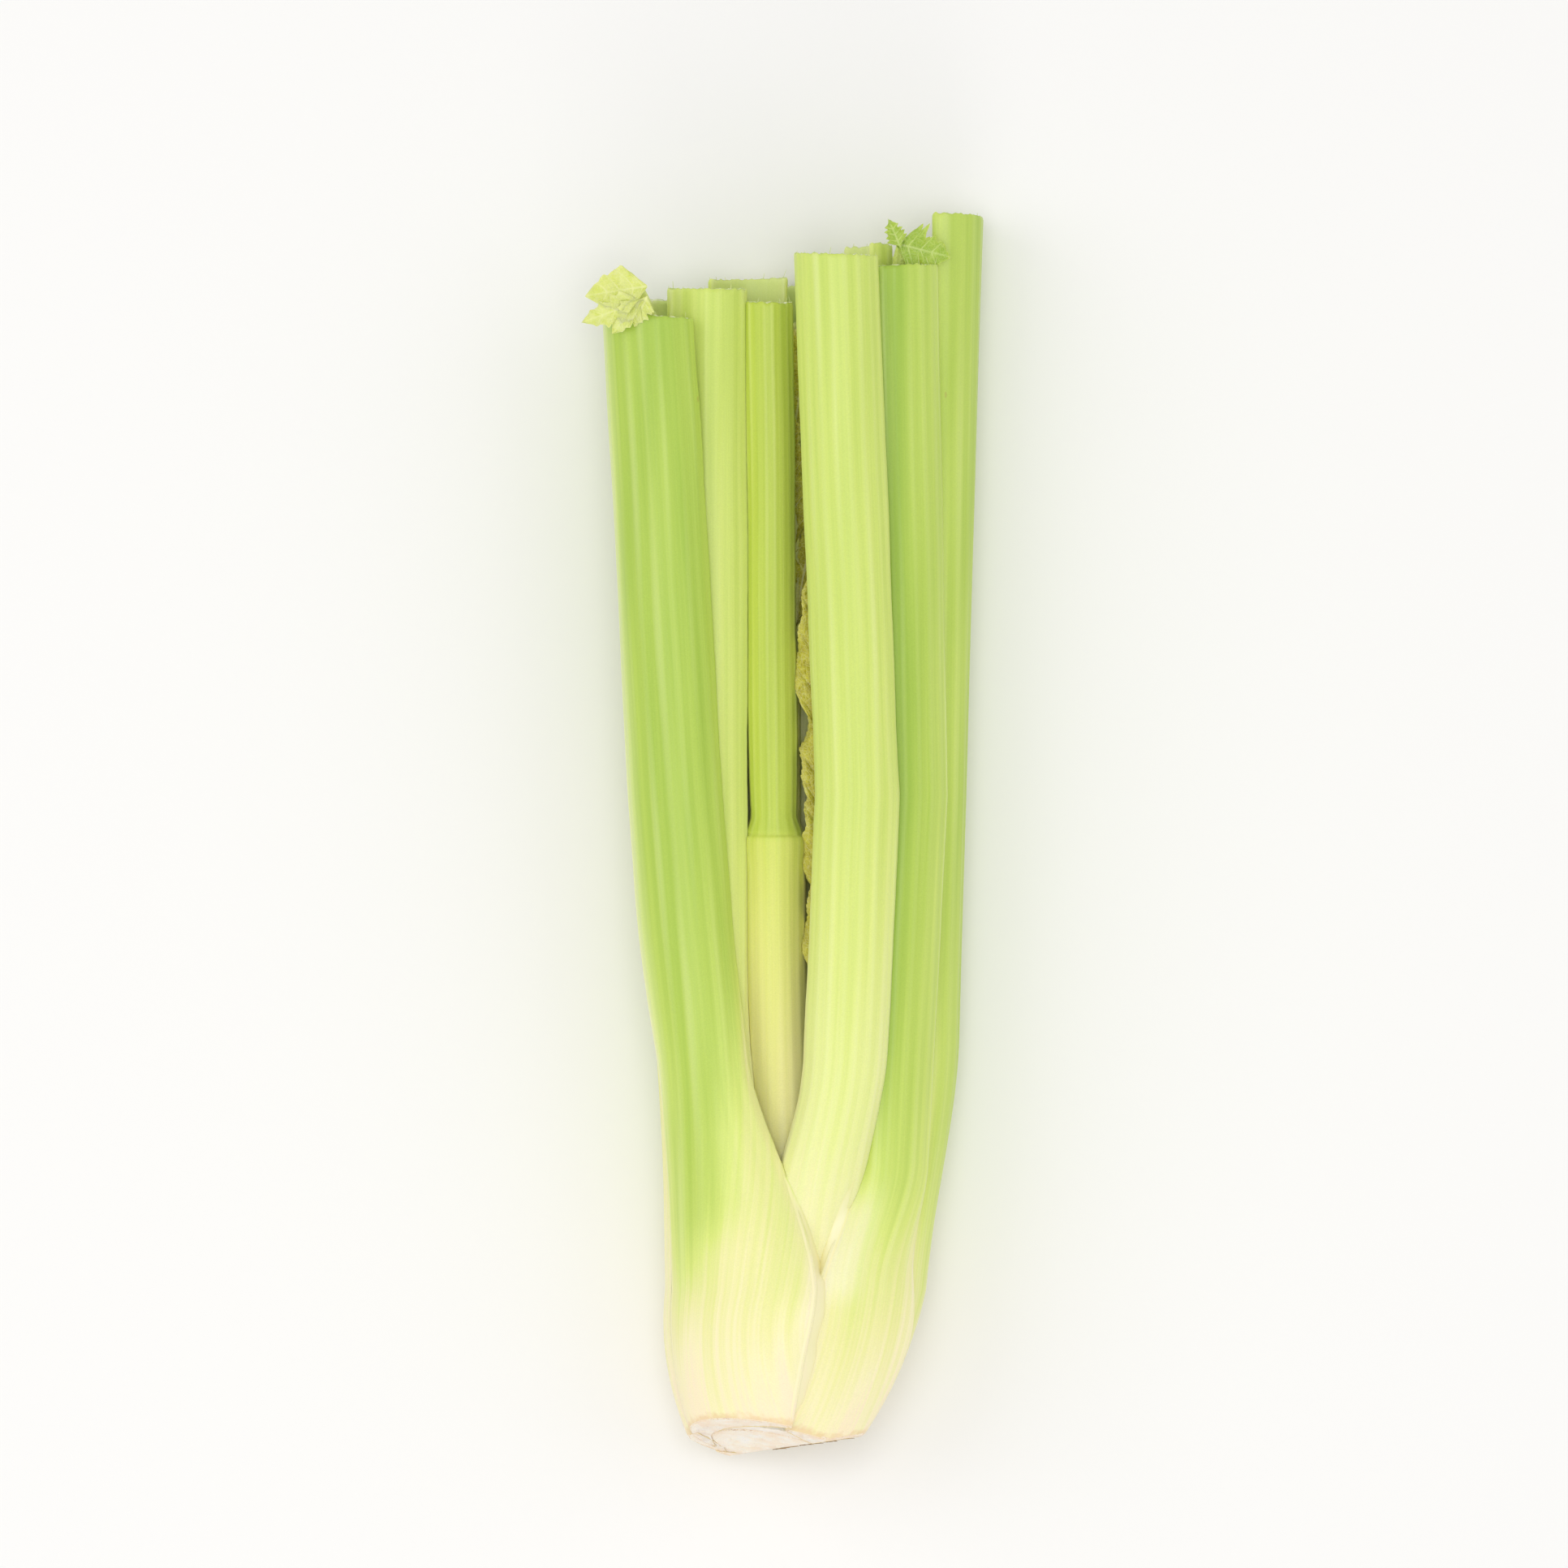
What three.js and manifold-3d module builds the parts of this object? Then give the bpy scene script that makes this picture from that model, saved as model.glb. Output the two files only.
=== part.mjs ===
// A trimmed head of celery lying on a surface, root end towards -Y and cut tops towards +Y.
// Millimetres, +Z up. The origin is under the middle of the head, on the surface it lies on.
// Leaf stalks overlap in three whorls round a short stem, the crown, and inside them stand
// the small leafy stalks of the heart. Each stalk is lofted through crescent sections.

import * as THREE from "three";
import Module from "manifold-3d";

const wasm = await Module();
wasm.setup();

// Driving dimensions. Heights are measured along the head from the lowest point of the root cut.
const headLength = 370;
const baseHeight = 50; // where the sheathing bases are widest
const lowHeight = 100; // where the stalks' low and middle places in the bundle are
const middleHeight = 197;
const baseRadius = 34.5; // middle of the outer whorl's wall at baseHeight
const baseDepth = 0.84; // the base is a little flatter than it is wide
const baseAxis = { x: -3, lean: 0.13, z: 32 }; // centre of the base, leaning to the right as it rises

// The root end was cut with two strokes. Each plane has its height at the base's axis and rises
// by slopeX for a millimetre to the right and by slopeZ for a millimetre up.
const rootCuts = [
  { height: 2.75, slopeX: -0.17, slopeZ: 0.3 },
  { height: 2.2, slopeX: 0.15, slopeZ: 0.02 },
];
const ribHeight = 0.6;
const gap = 0.35; // air left between pieces that press on each other
const bladeThickness = 0.8;

// How far each whorl's wall lies inside the outer one at the base, how much it draws in at the
// root, how far above the root cut its stalks start, how thick they are and how far they turn
// so that one margin tucks under the next stalk. The knife went through the outer whorl only.
const whorls = [
  { inset: 0, drawIn: 15.5, start: -9, wall: 7.8, twist: 8, color: 0xb5d365 },
  { inset: 10.6, drawIn: 9, start: 7.5, wall: 6.8, twist: 5, color: 0xcfe07f },
  { inset: 18.8, drawIn: 5, start: 16, wall: 5.6, twist: 4, color: 0xdde27d },
];

// The heights between which a stalk leaves the base ring for its place in the bundle, and those
// between which its sheathing base narrows to the stalk's own width.
const usualLeave = [30, 155];
const usualNarrow = [40, 135];

// angle and span: where the base sits round the crown and how much of it the sheath wraps, in
// degrees from +X towards +Z. low, middle and top: the place in the bundle of the middle of the
// wall, with the way its ribbed side faces. width: along the crescent's arc, margin to margin.
const stalks = {
  stalk_front_left: {
    whorl: 0,
    angle: 142,
    span: 129,
    leave: [26, 165],
    narrow: [38, 122],
    low: { x: -26.6, z: 49.3, face: 106 },
    middle: { x: -34.4, z: 50, face: 112 },
    top: { x: -41.3, z: 51, face: 118 },
    height: 340,
    width: 32.5,
  },
  stalk_front_right: {
    whorl: 0,
    angle: 49,
    span: 62,
    leave: [46, 88],
    narrow: [26, 74],
    low: { x: 36.3, z: 46, face: 58 },
    middle: { x: 41.2, z: 43, face: 58 },
    top: { x: 38, z: 46, face: 62 },
    height: 355,
    width: 27,
  },
  stalk_right: {
    whorl: 0,
    angle: -4,
    span: 60,
    leave: [30, 125],
    middle: { x: 49.5, z: 17, face: -6 },
    top: { x: 54.4, z: 20, face: 8 },
    height: 370,
    width: 33,
  },
  stalk_back_right: {
    whorl: 0,
    angle: -57,
    span: 56,
    middle: { x: 26, z: 3.8, face: -80 },
    top: { x: 30, z: 3.8, face: -80 },
    height: 358,
    width: 33,
  },
  stalk_back_middle: {
    whorl: 0,
    angle: -109,
    span: 52,
    middle: { x: -7, z: 3.5, face: -92 },
    top: { x: -5, z: 3.5, face: -90 },
    height: 349,
    width: 32,
  },
  stalk_back_left: {
    whorl: 0,
    angle: -159,
    span: 50,
    middle: { x: -35, z: 19, face: -150 },
    top: { x: -39.5, z: 21, face: -146 },
    height: 345,
    width: 30,
  },
  stalk_second_front: {
    whorl: 1,
    angle: 75,
    span: 84,
    leave: [56, 120],
    narrow: [34, 112],
    low: { x: 18.5, z: 57, face: 86 },
    middle: { x: 22.6, z: 57.5, face: 88 },
    top: { x: 16, z: 60, face: 90 },
    height: 358,
    width: 27.5,
  },
  stalk_second_left: {
    whorl: 1,
    angle: 165,
    span: 84,
    middle: { x: -24, z: 42, face: 108 },
    top: { x: -24, z: 43, face: 106 },
    height: 348,
    width: 27,
  },
  stalk_second_back: {
    whorl: 1,
    angle: -103,
    span: 84,
    middle: { x: -12, z: 18, face: -100 },
    top: { x: -11, z: 19, face: -98 },
    height: 351,
    width: 26,
  },
  stalk_second_right: {
    whorl: 1,
    angle: -14,
    span: 76,
    middle: { x: 27, z: 27, face: -20 },
    top: { x: 29, z: 28, face: -20 },
    height: 361,
    width: 26,
  },
  stalk_inner_back: {
    whorl: 2,
    angle: -75,
    span: 110,
    middle: { x: 8, z: 21.5, face: -80 },
    top: { x: 8, z: 22, face: -80 },
    height: 338,
    width: 20,
  },
  stalk_inner_front: {
    whorl: 2,
    angle: 105,
    span: 110,
    middle: { x: -2.6, z: 42, face: 92 },
    top: { x: -4, z: 43, face: 90 },
    height: 344,
    width: 20.5,
    node: { height: 185, widthAbove: 16 },
  },
};

const clamp01 = (t) => Math.min(Math.max(t, 0), 1);
const mix = (a, b, t) => a + (b - a) * t;
const ease = (low, high, s) => {
  const t = clamp01((s - low) / (high - low));
  return t * t * (3 - 2 * t);
};
const radians = THREE.MathUtils.degToRad;

// Centre of the base at a height, and the radius of one whorl's wall there.
const axisX = (s) => baseAxis.x + baseAxis.lean * Math.min(s, baseHeight);
function ringRadius(whorl, s) {
  const below = 1 - Math.min(s, baseHeight) / baseHeight;
  return baseRadius - whorl.inset - whorl.drawIn * below * below;
}

// Height of the root cut under a point of the base.
function cutHeight(x, z) {
  const heights = rootCuts.map(({ height, slopeX, slopeZ }) => {
    return height + slopeX * (x - baseAxis.x) + slopeZ * (z - baseAxis.z);
  });
  return Math.max(...heights);
}

function startHeight(stalk) {
  const whorl = whorls[stalk.whorl];
  const angle = radians(stalk.angle);
  const radius = ringRadius(whorl, 8);
  const x = baseAxis.x + radius * Math.cos(angle);
  const z = baseAxis.z + radius * Math.sin(angle) * baseDepth;
  return cutHeight(x, z) + whorl.start;
}

// A stalk's width at height s: above its node, where leaflets grew, it is narrower.
function widthAt(stalk, s) {
  if (!stalk.node) return stalk.width;
  const { height, widthAbove } = stalk.node;
  const swell = 0.7 * Math.exp(-(((s - height + 3) / 4) ** 2));
  return mix(stalk.width, widthAbove, ease(height - 2, height + 4, s)) + swell;
}

// A stalk's place in the bundle at height s. Without a low place it runs on straight below.
function placeAt(stalk, s) {
  const { low, middle, top } = stalk;
  const upper = (s - middleHeight) / (stalk.height - middleHeight);
  const lower = (s - middleHeight) / (lowHeight - middleHeight);
  const [end, t] = low && s < middleHeight ? [low, lower] : [top, upper];
  return {
    x: mix(middle.x, end.x, t),
    z: mix(middle.z, end.z, t),
    face: mix(middle.face, end.face, clamp01(t)),
  };
}

// Everything about one stalk's crescent at height s: its place, facing, arc and wall.
function crescentAt(stalk, s) {
  const whorl = whorls[stalk.whorl];
  const radius = ringRadius(whorl, s);
  const angle = radians(stalk.angle);
  const width = widthAt(stalk, s);
  const leave = ease(...(stalk.leave ?? usualLeave), s);
  const narrow = ease(...(stalk.narrow ?? usualNarrow), s);
  const ringX = axisX(s) + radius * Math.cos(angle);
  const ringZ = baseAxis.z + radius * Math.sin(angle) * baseDepth;
  const place = placeAt(stalk, s);
  return {
    x: mix(ringX, place.x, leave),
    z: mix(ringZ, place.z, leave),
    face: radians(mix(stalk.angle + whorl.twist, place.face, leave)),
    radius: 1 / mix(1 / radius, 1 / (width * 0.48), narrow),
    arc: mix(radius * radians(stalk.span), width, narrow),
    wall: mix(whorl.wall, width * 0.24, narrow),
    rim: mix(1.7, width * 0.085, narrow),
    depth: mix(baseDepth, 1, leave),
    rib: ribHeight * ease(8, 40, s),
  };
}

// Closed ring of points round the crescent: ribbed outer side, margin, hollow inner side,
// margin. With a clearance the whole crescent grows by that much on every side.
function crescentRing(stalk, s, ribs, innerSteps, clearance = 0) {
  const c = crescentAt(stalk, s);
  const half = c.arc / 2 / c.radius;
  const beyond = 1 + (c.rim + 2 * clearance) / c.arc;
  const centreX = c.x - c.radius * Math.cos(c.face);
  const centreZ = -c.radius * Math.sin(c.face);
  const place = (u, r) => {
    const a = c.face + u * half;
    const z = c.z + (centreZ + r * Math.sin(a)) * c.depth;
    return new THREE.Vector3(centreX + r * Math.cos(a), s, Math.max(z, 0));
  };
  const wallAt = (u) => mix(c.rim, c.wall, 1 - Math.abs(u) ** 2.4) / 2 + clearance;
  const ring = [];
  for (let i = 0; i <= 2 * ribs; i++) {
    const u = i / ribs - 1;
    ring.push(place(u, c.radius + wallAt(u) + (i % 2) * c.rib));
  }
  ring.push(place(beyond, c.radius));
  for (let i = innerSteps; i >= 0; i--) {
    const u = (2 * i) / innerSteps - 1;
    ring.push(place(u, c.radius - wallAt(u)));
  }
  ring.push(place(-beyond, c.radius));
  return ring;
}

function solid(positions, index) {
  return new wasm.Manifold(
    new wasm.Mesh({
      numProp: 3,
      vertProperties: new Float32Array(positions),
      triVerts: new Uint32Array(index),
    }),
  );
}

// Solid through a row of rings with the same number of points, from the root upwards.
function loft(rings) {
  const count = rings[0].length;
  const positions = rings.flatMap((ring) => ring.flatMap((p) => [p.x, p.y - headLength / 2, p.z]));
  const index = [];
  for (let k = 0; k + 1 < rings.length; k++) {
    for (let i = 0; i < count; i++) {
      const a = k * count + i;
      const b = k * count + ((i + 1) % count);
      index.push(a, a + count, b, b, a + count, b + count);
    }
  }
  const flat = (ring) => ring.map((p) => new THREE.Vector2(p.x, p.z));
  const last = (rings.length - 1) * count;
  for (const [a, b, c] of THREE.ShapeUtils.triangulateShape(flat(rings[0]), [])) index.push(a, b, c);
  for (const [a, b, c] of THREE.ShapeUtils.triangulateShape(flat(rings.at(-1)), [])) {
    index.push(last + c, last + b, last + a);
  }
  return solid(positions, index);
}

// The heights of a stalk's rings: close together in the base and at a node.
function stations(stalk) {
  const start = startHeight(stalk);
  const sheath = [0, 3, 9, 17, 27, 38, 50].map((s) => start + s * (1 - start / 100));
  const upper = [62, 75, 90, 110, 135, 165, 205, 250, 300].filter((s) => !stalk.node || s !== 205);
  const node = stalk.node ? [-8, -3, 1, 5, 14].map((s) => stalk.node.height + s) : [];
  return [...sheath, ...upper, ...node, stalk.height].sort((a, b) => a - b);
}

function stalkSolid(stalk, clearance = 0) {
  return loft(stations(stalk).map((s) => crescentRing(stalk, s, 8, 6, clearance)));
}

// The crown: the short stem that the stalks grow from, tapering inside them. Heights are above
// the root cut at the crown's axis, and its lowest ring is below what the knife left.
function crown(clearance = 0) {
  const sides = 24;
  const profile = [
    { up: -14, radius: 18.2 },
    { up: 2, radius: 18 },
    { up: 6, radius: 16.2 },
    { up: 11, radius: 12 },
    { up: 16, radius: 8.5 },
    { up: 21, radius: 7 },
  ];
  const foot = cutHeight(baseAxis.x, baseAxis.z);
  const rings = profile.map(({ up, radius }) => {
    const ring = [];
    for (let i = 0; i < sides; i++) {
      const a = (i / sides) * Math.PI * 2;
      const lump = 1 + 0.02 * Math.sin(3 * a + 0.6);
      const x = baseAxis.x + (radius * lump + clearance) * Math.cos(a);
      const z = baseAxis.z + (radius * lump * baseDepth + clearance) * Math.sin(a);
      ring.push(new THREE.Vector3(x, foot + up + clearance * Math.sign(up), z));
    }
    return ring;
  });
  return loft(rings);
}

// One leaflet: a thin lobed and toothed blade, folded along its midrib and curling towards the
// tip. at: its base; yaw turns it from +Y towards +X, pitch raises it and roll tips it over.
const leafRows = [
  { along: 0, half: 0.1 },
  { along: 0.12, half: 0.5 },
  { along: 0.2, half: 1 },
  { along: 0.28, half: 0.72 },
  { along: 0.36, half: 0.86 },
  { along: 0.46, half: 0.42 },
  { along: 0.58, half: 0.66 },
  { along: 0.68, half: 0.46 },
  { along: 0.78, half: 0.5 },
  { along: 0.88, half: 0.24 },
  { along: 1, half: 0.04 },
];
function leaflet(leaf) {
  const { at, length, width } = leaf;
  const { yaw = 0, pitch = 0, roll = 0, fold = 0.35, curl = 0.6, ruffle = 0.1 } = leaf;
  const columns = [-1, -0.5, 0, 0.5, 1];
  const turn = new THREE.Matrix4().makeRotationFromEuler(
    new THREE.Euler(radians(pitch), radians(roll), radians(-yaw), "ZXY"),
  );
  const grid = [];
  for (const side of [1, -1]) {
    for (const [row, { along, half }] of leafRows.entries()) {
      const bend = curl * along;
      const reach = curl ? Math.sin(bend) / curl : along;
      const drop = curl ? (1 - Math.cos(bend)) / curl : 0;
      for (const u of columns) {
        const across = (u * half * width) / 2;
        const wave = ruffle * width * Math.abs(u) * Math.sin(row * 1.7 + (u > 0 ? 1 : 0));
        const up = Math.abs(across) * fold + wave + (side * bladeThickness) / 2;
        const p = new THREE.Vector3(across, reach * length, up - drop * length).applyMatrix4(turn);
        grid.push(p.x + at[0], p.y + at[1] - headLength / 2, p.z + at[2]);
      }
    }
  }
  const wide = columns.length;
  const sheet = leafRows.length * wide;
  const index = [];
  const quad = (a, b, c, d) => index.push(a, b, c, a, c, d);
  for (let r = 0; r + 1 < leafRows.length; r++) {
    for (let k = 0; k + 1 < wide; k++) {
      const a = r * wide + k;
      quad(a, a + 1, a + wide + 1, a + wide);
      quad(sheet + a, sheet + a + wide, sheet + a + wide + 1, sheet + a + 1);
    }
    const left = r * wide;
    const right = left + wide - 1;
    quad(left, left + wide, sheet + left + wide, sheet + left);
    quad(right + wide, right, sheet + right, sheet + right + wide);
  }
  const top = sheet - wide;
  for (let k = 0; k + 1 < wide; k++) {
    quad(k + 1, k, sheet + k, sheet + k + 1);
    quad(top + k, top + k + 1, sheet + top + k + 1, sheet + top + k);
  }
  return solid(grid, index);
}

// A thin stalk through the points of a path, each with its own radius.
function sprigStalk(path) {
  const sides = 8;
  return loft(
    path.map(([x, s, z, radius]) => {
      const ring = [];
      for (let i = 0; i < sides; i++) {
        const a = (i / sides) * Math.PI * 2;
        ring.push(new THREE.Vector3(x + radius * Math.cos(a), s, z + radius * 0.85 * Math.sin(a)));
      }
      return ring;
    }),
  );
}

// The young stalks of the heart and the leaves left at the cut tops. path: x, height along the
// head, z and radius of the little stalk.
const sprigs = {
  heart_sprig_front: {
    path: [
      [4, 44, 33, 1.6],
      [7, 64, 32, 2],
      [9.5, 100, 31, 2.1],
      [10.5, 140, 32, 2],
      [12.5, 172, 34, 1.5],
    ],
    leaflets: [
      { at: [11, 138, 33.5], yaw: 2, pitch: 2, roll: 6, length: 46, width: 15, fold: 0.12, curl: 0.1 },
      { at: [12.5, 166, 35], yaw: 0, pitch: 2, roll: -5, length: 46, width: 17, fold: 0.15, curl: 0.15 },
    ],
  },
  heart_sprig_back: {
    path: [
      [2.5, 46, 29, 1.6],
      [3, 70, 28, 2],
      [3.5, 130, 27.8, 2.1],
      [3.5, 220, 27.8, 2],
      [3.5, 290, 28, 1.8],
      [3.5, 312, 28, 1.4],
    ],
    leaflets: [
      { at: [3.5, 246, 28], yaw: 10, pitch: 2, roll: -14, length: 40, width: 15, curl: 0.1 },
      { at: [3.5, 272, 28], yaw: -4, pitch: 3, roll: 10, length: 44, width: 16, curl: -0.1 },
      { at: [3.5, 304, 28], yaw: 8, pitch: 3, roll: -10, length: 48, width: 20, curl: 0.3 },
    ],
  },
  leaf_left: {
    path: [
      [-37.5, 262, 41, 1.6],
      [-37.5, 300, 41, 2.2],
      [-38, 330, 42, 2.2],
      [-40, 341, 46, 2.1],
      [-42, 346, 52, 1.9],
      [-43, 348, 55, 1.6],
    ],
    leaflets: [
      { at: [-40, 348, 56], yaw: -98, pitch: 6, roll: 4, length: 19, width: 15, fold: 0.25, curl: 0.5 },
      { at: [-41, 344, 57], yaw: -111, pitch: 4, roll: -4, length: 20.5, width: 11, fold: 0.2, curl: 0.6 },
      { at: [-42, 344, 57], yaw: -140, pitch: 2, roll: 0, length: 13.5, width: 9, fold: 0.15, curl: 0.4 },
      { at: [-40, 345, 57], yaw: -157, pitch: 0, roll: 4, length: 10, width: 8, fold: 0.15, curl: 0.3 },
    ],
  },
  leaf_right: {
    path: [
      [33, 280, 35, 1.6],
      [33, 330, 35, 2.2],
      [34, 350, 36, 2.1],
      [35, 357, 38, 1.9],
      [36, 362, 40, 1.6],
    ],
    leaflets: [
      { at: [34, 361, 40], yaw: 104, pitch: 12, roll: 0, length: 17, width: 17, fold: 0.1, curl: 0.6 },
      { at: [35, 360, 41], yaw: -20, pitch: 18, roll: 10, length: 9, width: 8, fold: 0.3, curl: 0.6 },
    ],
  },
};

// Each piece is cut clear of the ones placed before it, by a swollen copy of each.
const celery = new THREE.Group();
const placed = [];
function clearOfOthers(body) {
  let left = body;
  for (const swollen of placed) {
    if (left.intersect(swollen).volume() === 0) continue;
    const pieces = left.subtract(swollen).decompose();
    left = pieces.reduce((a, b) => (a.volume() > b.volume() ? a : b));
  }
  return left;
}
function addNode(name, body, color) {
  const { vertProperties, triVerts } = body.getMesh();
  const geometry = new THREE.BufferGeometry();
  geometry.setAttribute("position", new THREE.Float32BufferAttribute(vertProperties, 3));
  geometry.setIndex(new THREE.BufferAttribute(triVerts, 1));
  geometry.computeVertexNormals();
  const mesh = new THREE.Mesh(
    geometry,
    new THREE.MeshStandardMaterial({ color, roughness: 0.45, metalness: 0 }),
  );
  mesh.name = name;
  celery.add(mesh);
}

// What the two strokes through the base left above them.
function aboveRootCuts(body) {
  let left = body;
  for (const { height, slopeX, slopeZ } of rootCuts) {
    const across = new THREE.Vector3(-slopeX, 1, -slopeZ).normalize();
    const onPlane = new THREE.Vector3(baseAxis.x, height - headLength / 2, baseAxis.z);
    left = left.trimByPlane(across.toArray(), across.dot(onPlane));
  }
  return left;
}

addNode("root_crown", aboveRootCuts(crown()), 0xe9d9b8);
placed.push(crown(gap));
for (const [name, stalk] of Object.entries(stalks)) {
  const body = clearOfOthers(aboveRootCuts(stalkSolid(stalk)));
  addNode(name, body, whorls[stalk.whorl].color);
  placed.push(stalkSolid(stalk, gap));
}
for (const [name, sprig] of Object.entries(sprigs)) {
  const whole = wasm.Manifold.union([sprigStalk(sprig.path), ...sprig.leaflets.map(leaflet)]);
  addNode(name, clearOfOthers(whole), 0xd5de6a);
}

export default celery;
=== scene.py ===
import math

import bmesh
import bpy
import numpy as np
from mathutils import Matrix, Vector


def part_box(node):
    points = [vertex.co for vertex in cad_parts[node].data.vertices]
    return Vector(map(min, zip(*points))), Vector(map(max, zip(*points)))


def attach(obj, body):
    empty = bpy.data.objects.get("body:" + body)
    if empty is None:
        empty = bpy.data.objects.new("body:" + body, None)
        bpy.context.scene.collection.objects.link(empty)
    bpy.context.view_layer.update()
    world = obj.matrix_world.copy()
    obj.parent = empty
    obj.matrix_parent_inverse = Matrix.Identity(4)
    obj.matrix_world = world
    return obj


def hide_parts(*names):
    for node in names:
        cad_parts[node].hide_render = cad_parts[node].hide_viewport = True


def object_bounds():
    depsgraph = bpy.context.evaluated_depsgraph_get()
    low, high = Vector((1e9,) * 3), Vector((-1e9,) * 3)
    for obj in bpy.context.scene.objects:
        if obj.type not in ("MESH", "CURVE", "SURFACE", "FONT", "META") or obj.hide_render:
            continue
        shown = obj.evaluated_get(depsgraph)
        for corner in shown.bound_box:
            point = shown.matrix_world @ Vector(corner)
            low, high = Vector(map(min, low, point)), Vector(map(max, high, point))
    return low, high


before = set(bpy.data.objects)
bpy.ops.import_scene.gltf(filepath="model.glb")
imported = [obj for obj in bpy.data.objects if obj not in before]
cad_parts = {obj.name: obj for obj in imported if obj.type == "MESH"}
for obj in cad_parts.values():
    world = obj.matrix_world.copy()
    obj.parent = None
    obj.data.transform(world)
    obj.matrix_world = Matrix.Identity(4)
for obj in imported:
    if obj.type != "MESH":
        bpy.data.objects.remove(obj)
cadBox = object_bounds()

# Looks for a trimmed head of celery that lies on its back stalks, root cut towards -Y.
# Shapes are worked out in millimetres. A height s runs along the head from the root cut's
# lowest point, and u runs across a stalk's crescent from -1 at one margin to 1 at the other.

millimetre = 0.001
headLength = round((cadBox[1].y - cadBox[0].y) / millimetre)

head = {
    "baseHeight": 50,
    "lowHeight": 100,
    "middleHeight": 197,
    "baseRadius": 34.5,
    "baseDepth": 0.84,
    "axisX": -3,
    "axisLean": 0.13,
    "axisZ": 32,
    "clearance": 0.08,
    "leave": (30, 155),
    "narrow": (40, 135),
}
# the knife took the root off in two strokes
rootCuts = [{"height": 2.75, "slopeX": -0.17, "slopeZ": 0.3}, {"height": 2.2, "slopeX": 0.15, "slopeZ": 0.02}]
whorls = [
    {"inset": 0, "drawIn": 15.5, "start": 0, "wall": 7.8, "twist": 8, "rib": 0.26, "lift": 0.85},
    {"inset": 10.6, "drawIn": 9, "start": 7.5, "wall": 6.8, "twist": 5, "rib": 0.22, "lift": 0.4},
    {"inset": 18.8, "drawIn": 5, "start": 16, "wall": 5.6, "twist": 4, "rib": 0.12, "lift": 0},
]

# A stalk's section as shares of its width, the rim it has while it is still a thin sheath, and
# how steeply its wall thins towards both margins. Then the form of a node, in millimetres.
section = {"radius": 0.48, "wall": 0.24, "rim": 0.085, "sheathRim": 1.7, "thinning": 2.4, "ribs": 8}
nodeForm = {"crease": 0.55, "creaseReach": 0.45, "step": 0.5, "swell": 1.2, "swellReach": 4.5}
# the knife left the tops a little tilted and ragged, and their edges round
knife = {"tilt": 0.06, "drop": 0.5, "ragged": 0.22, "raggedSize": 2.2, "rounding": 0.35}

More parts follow.
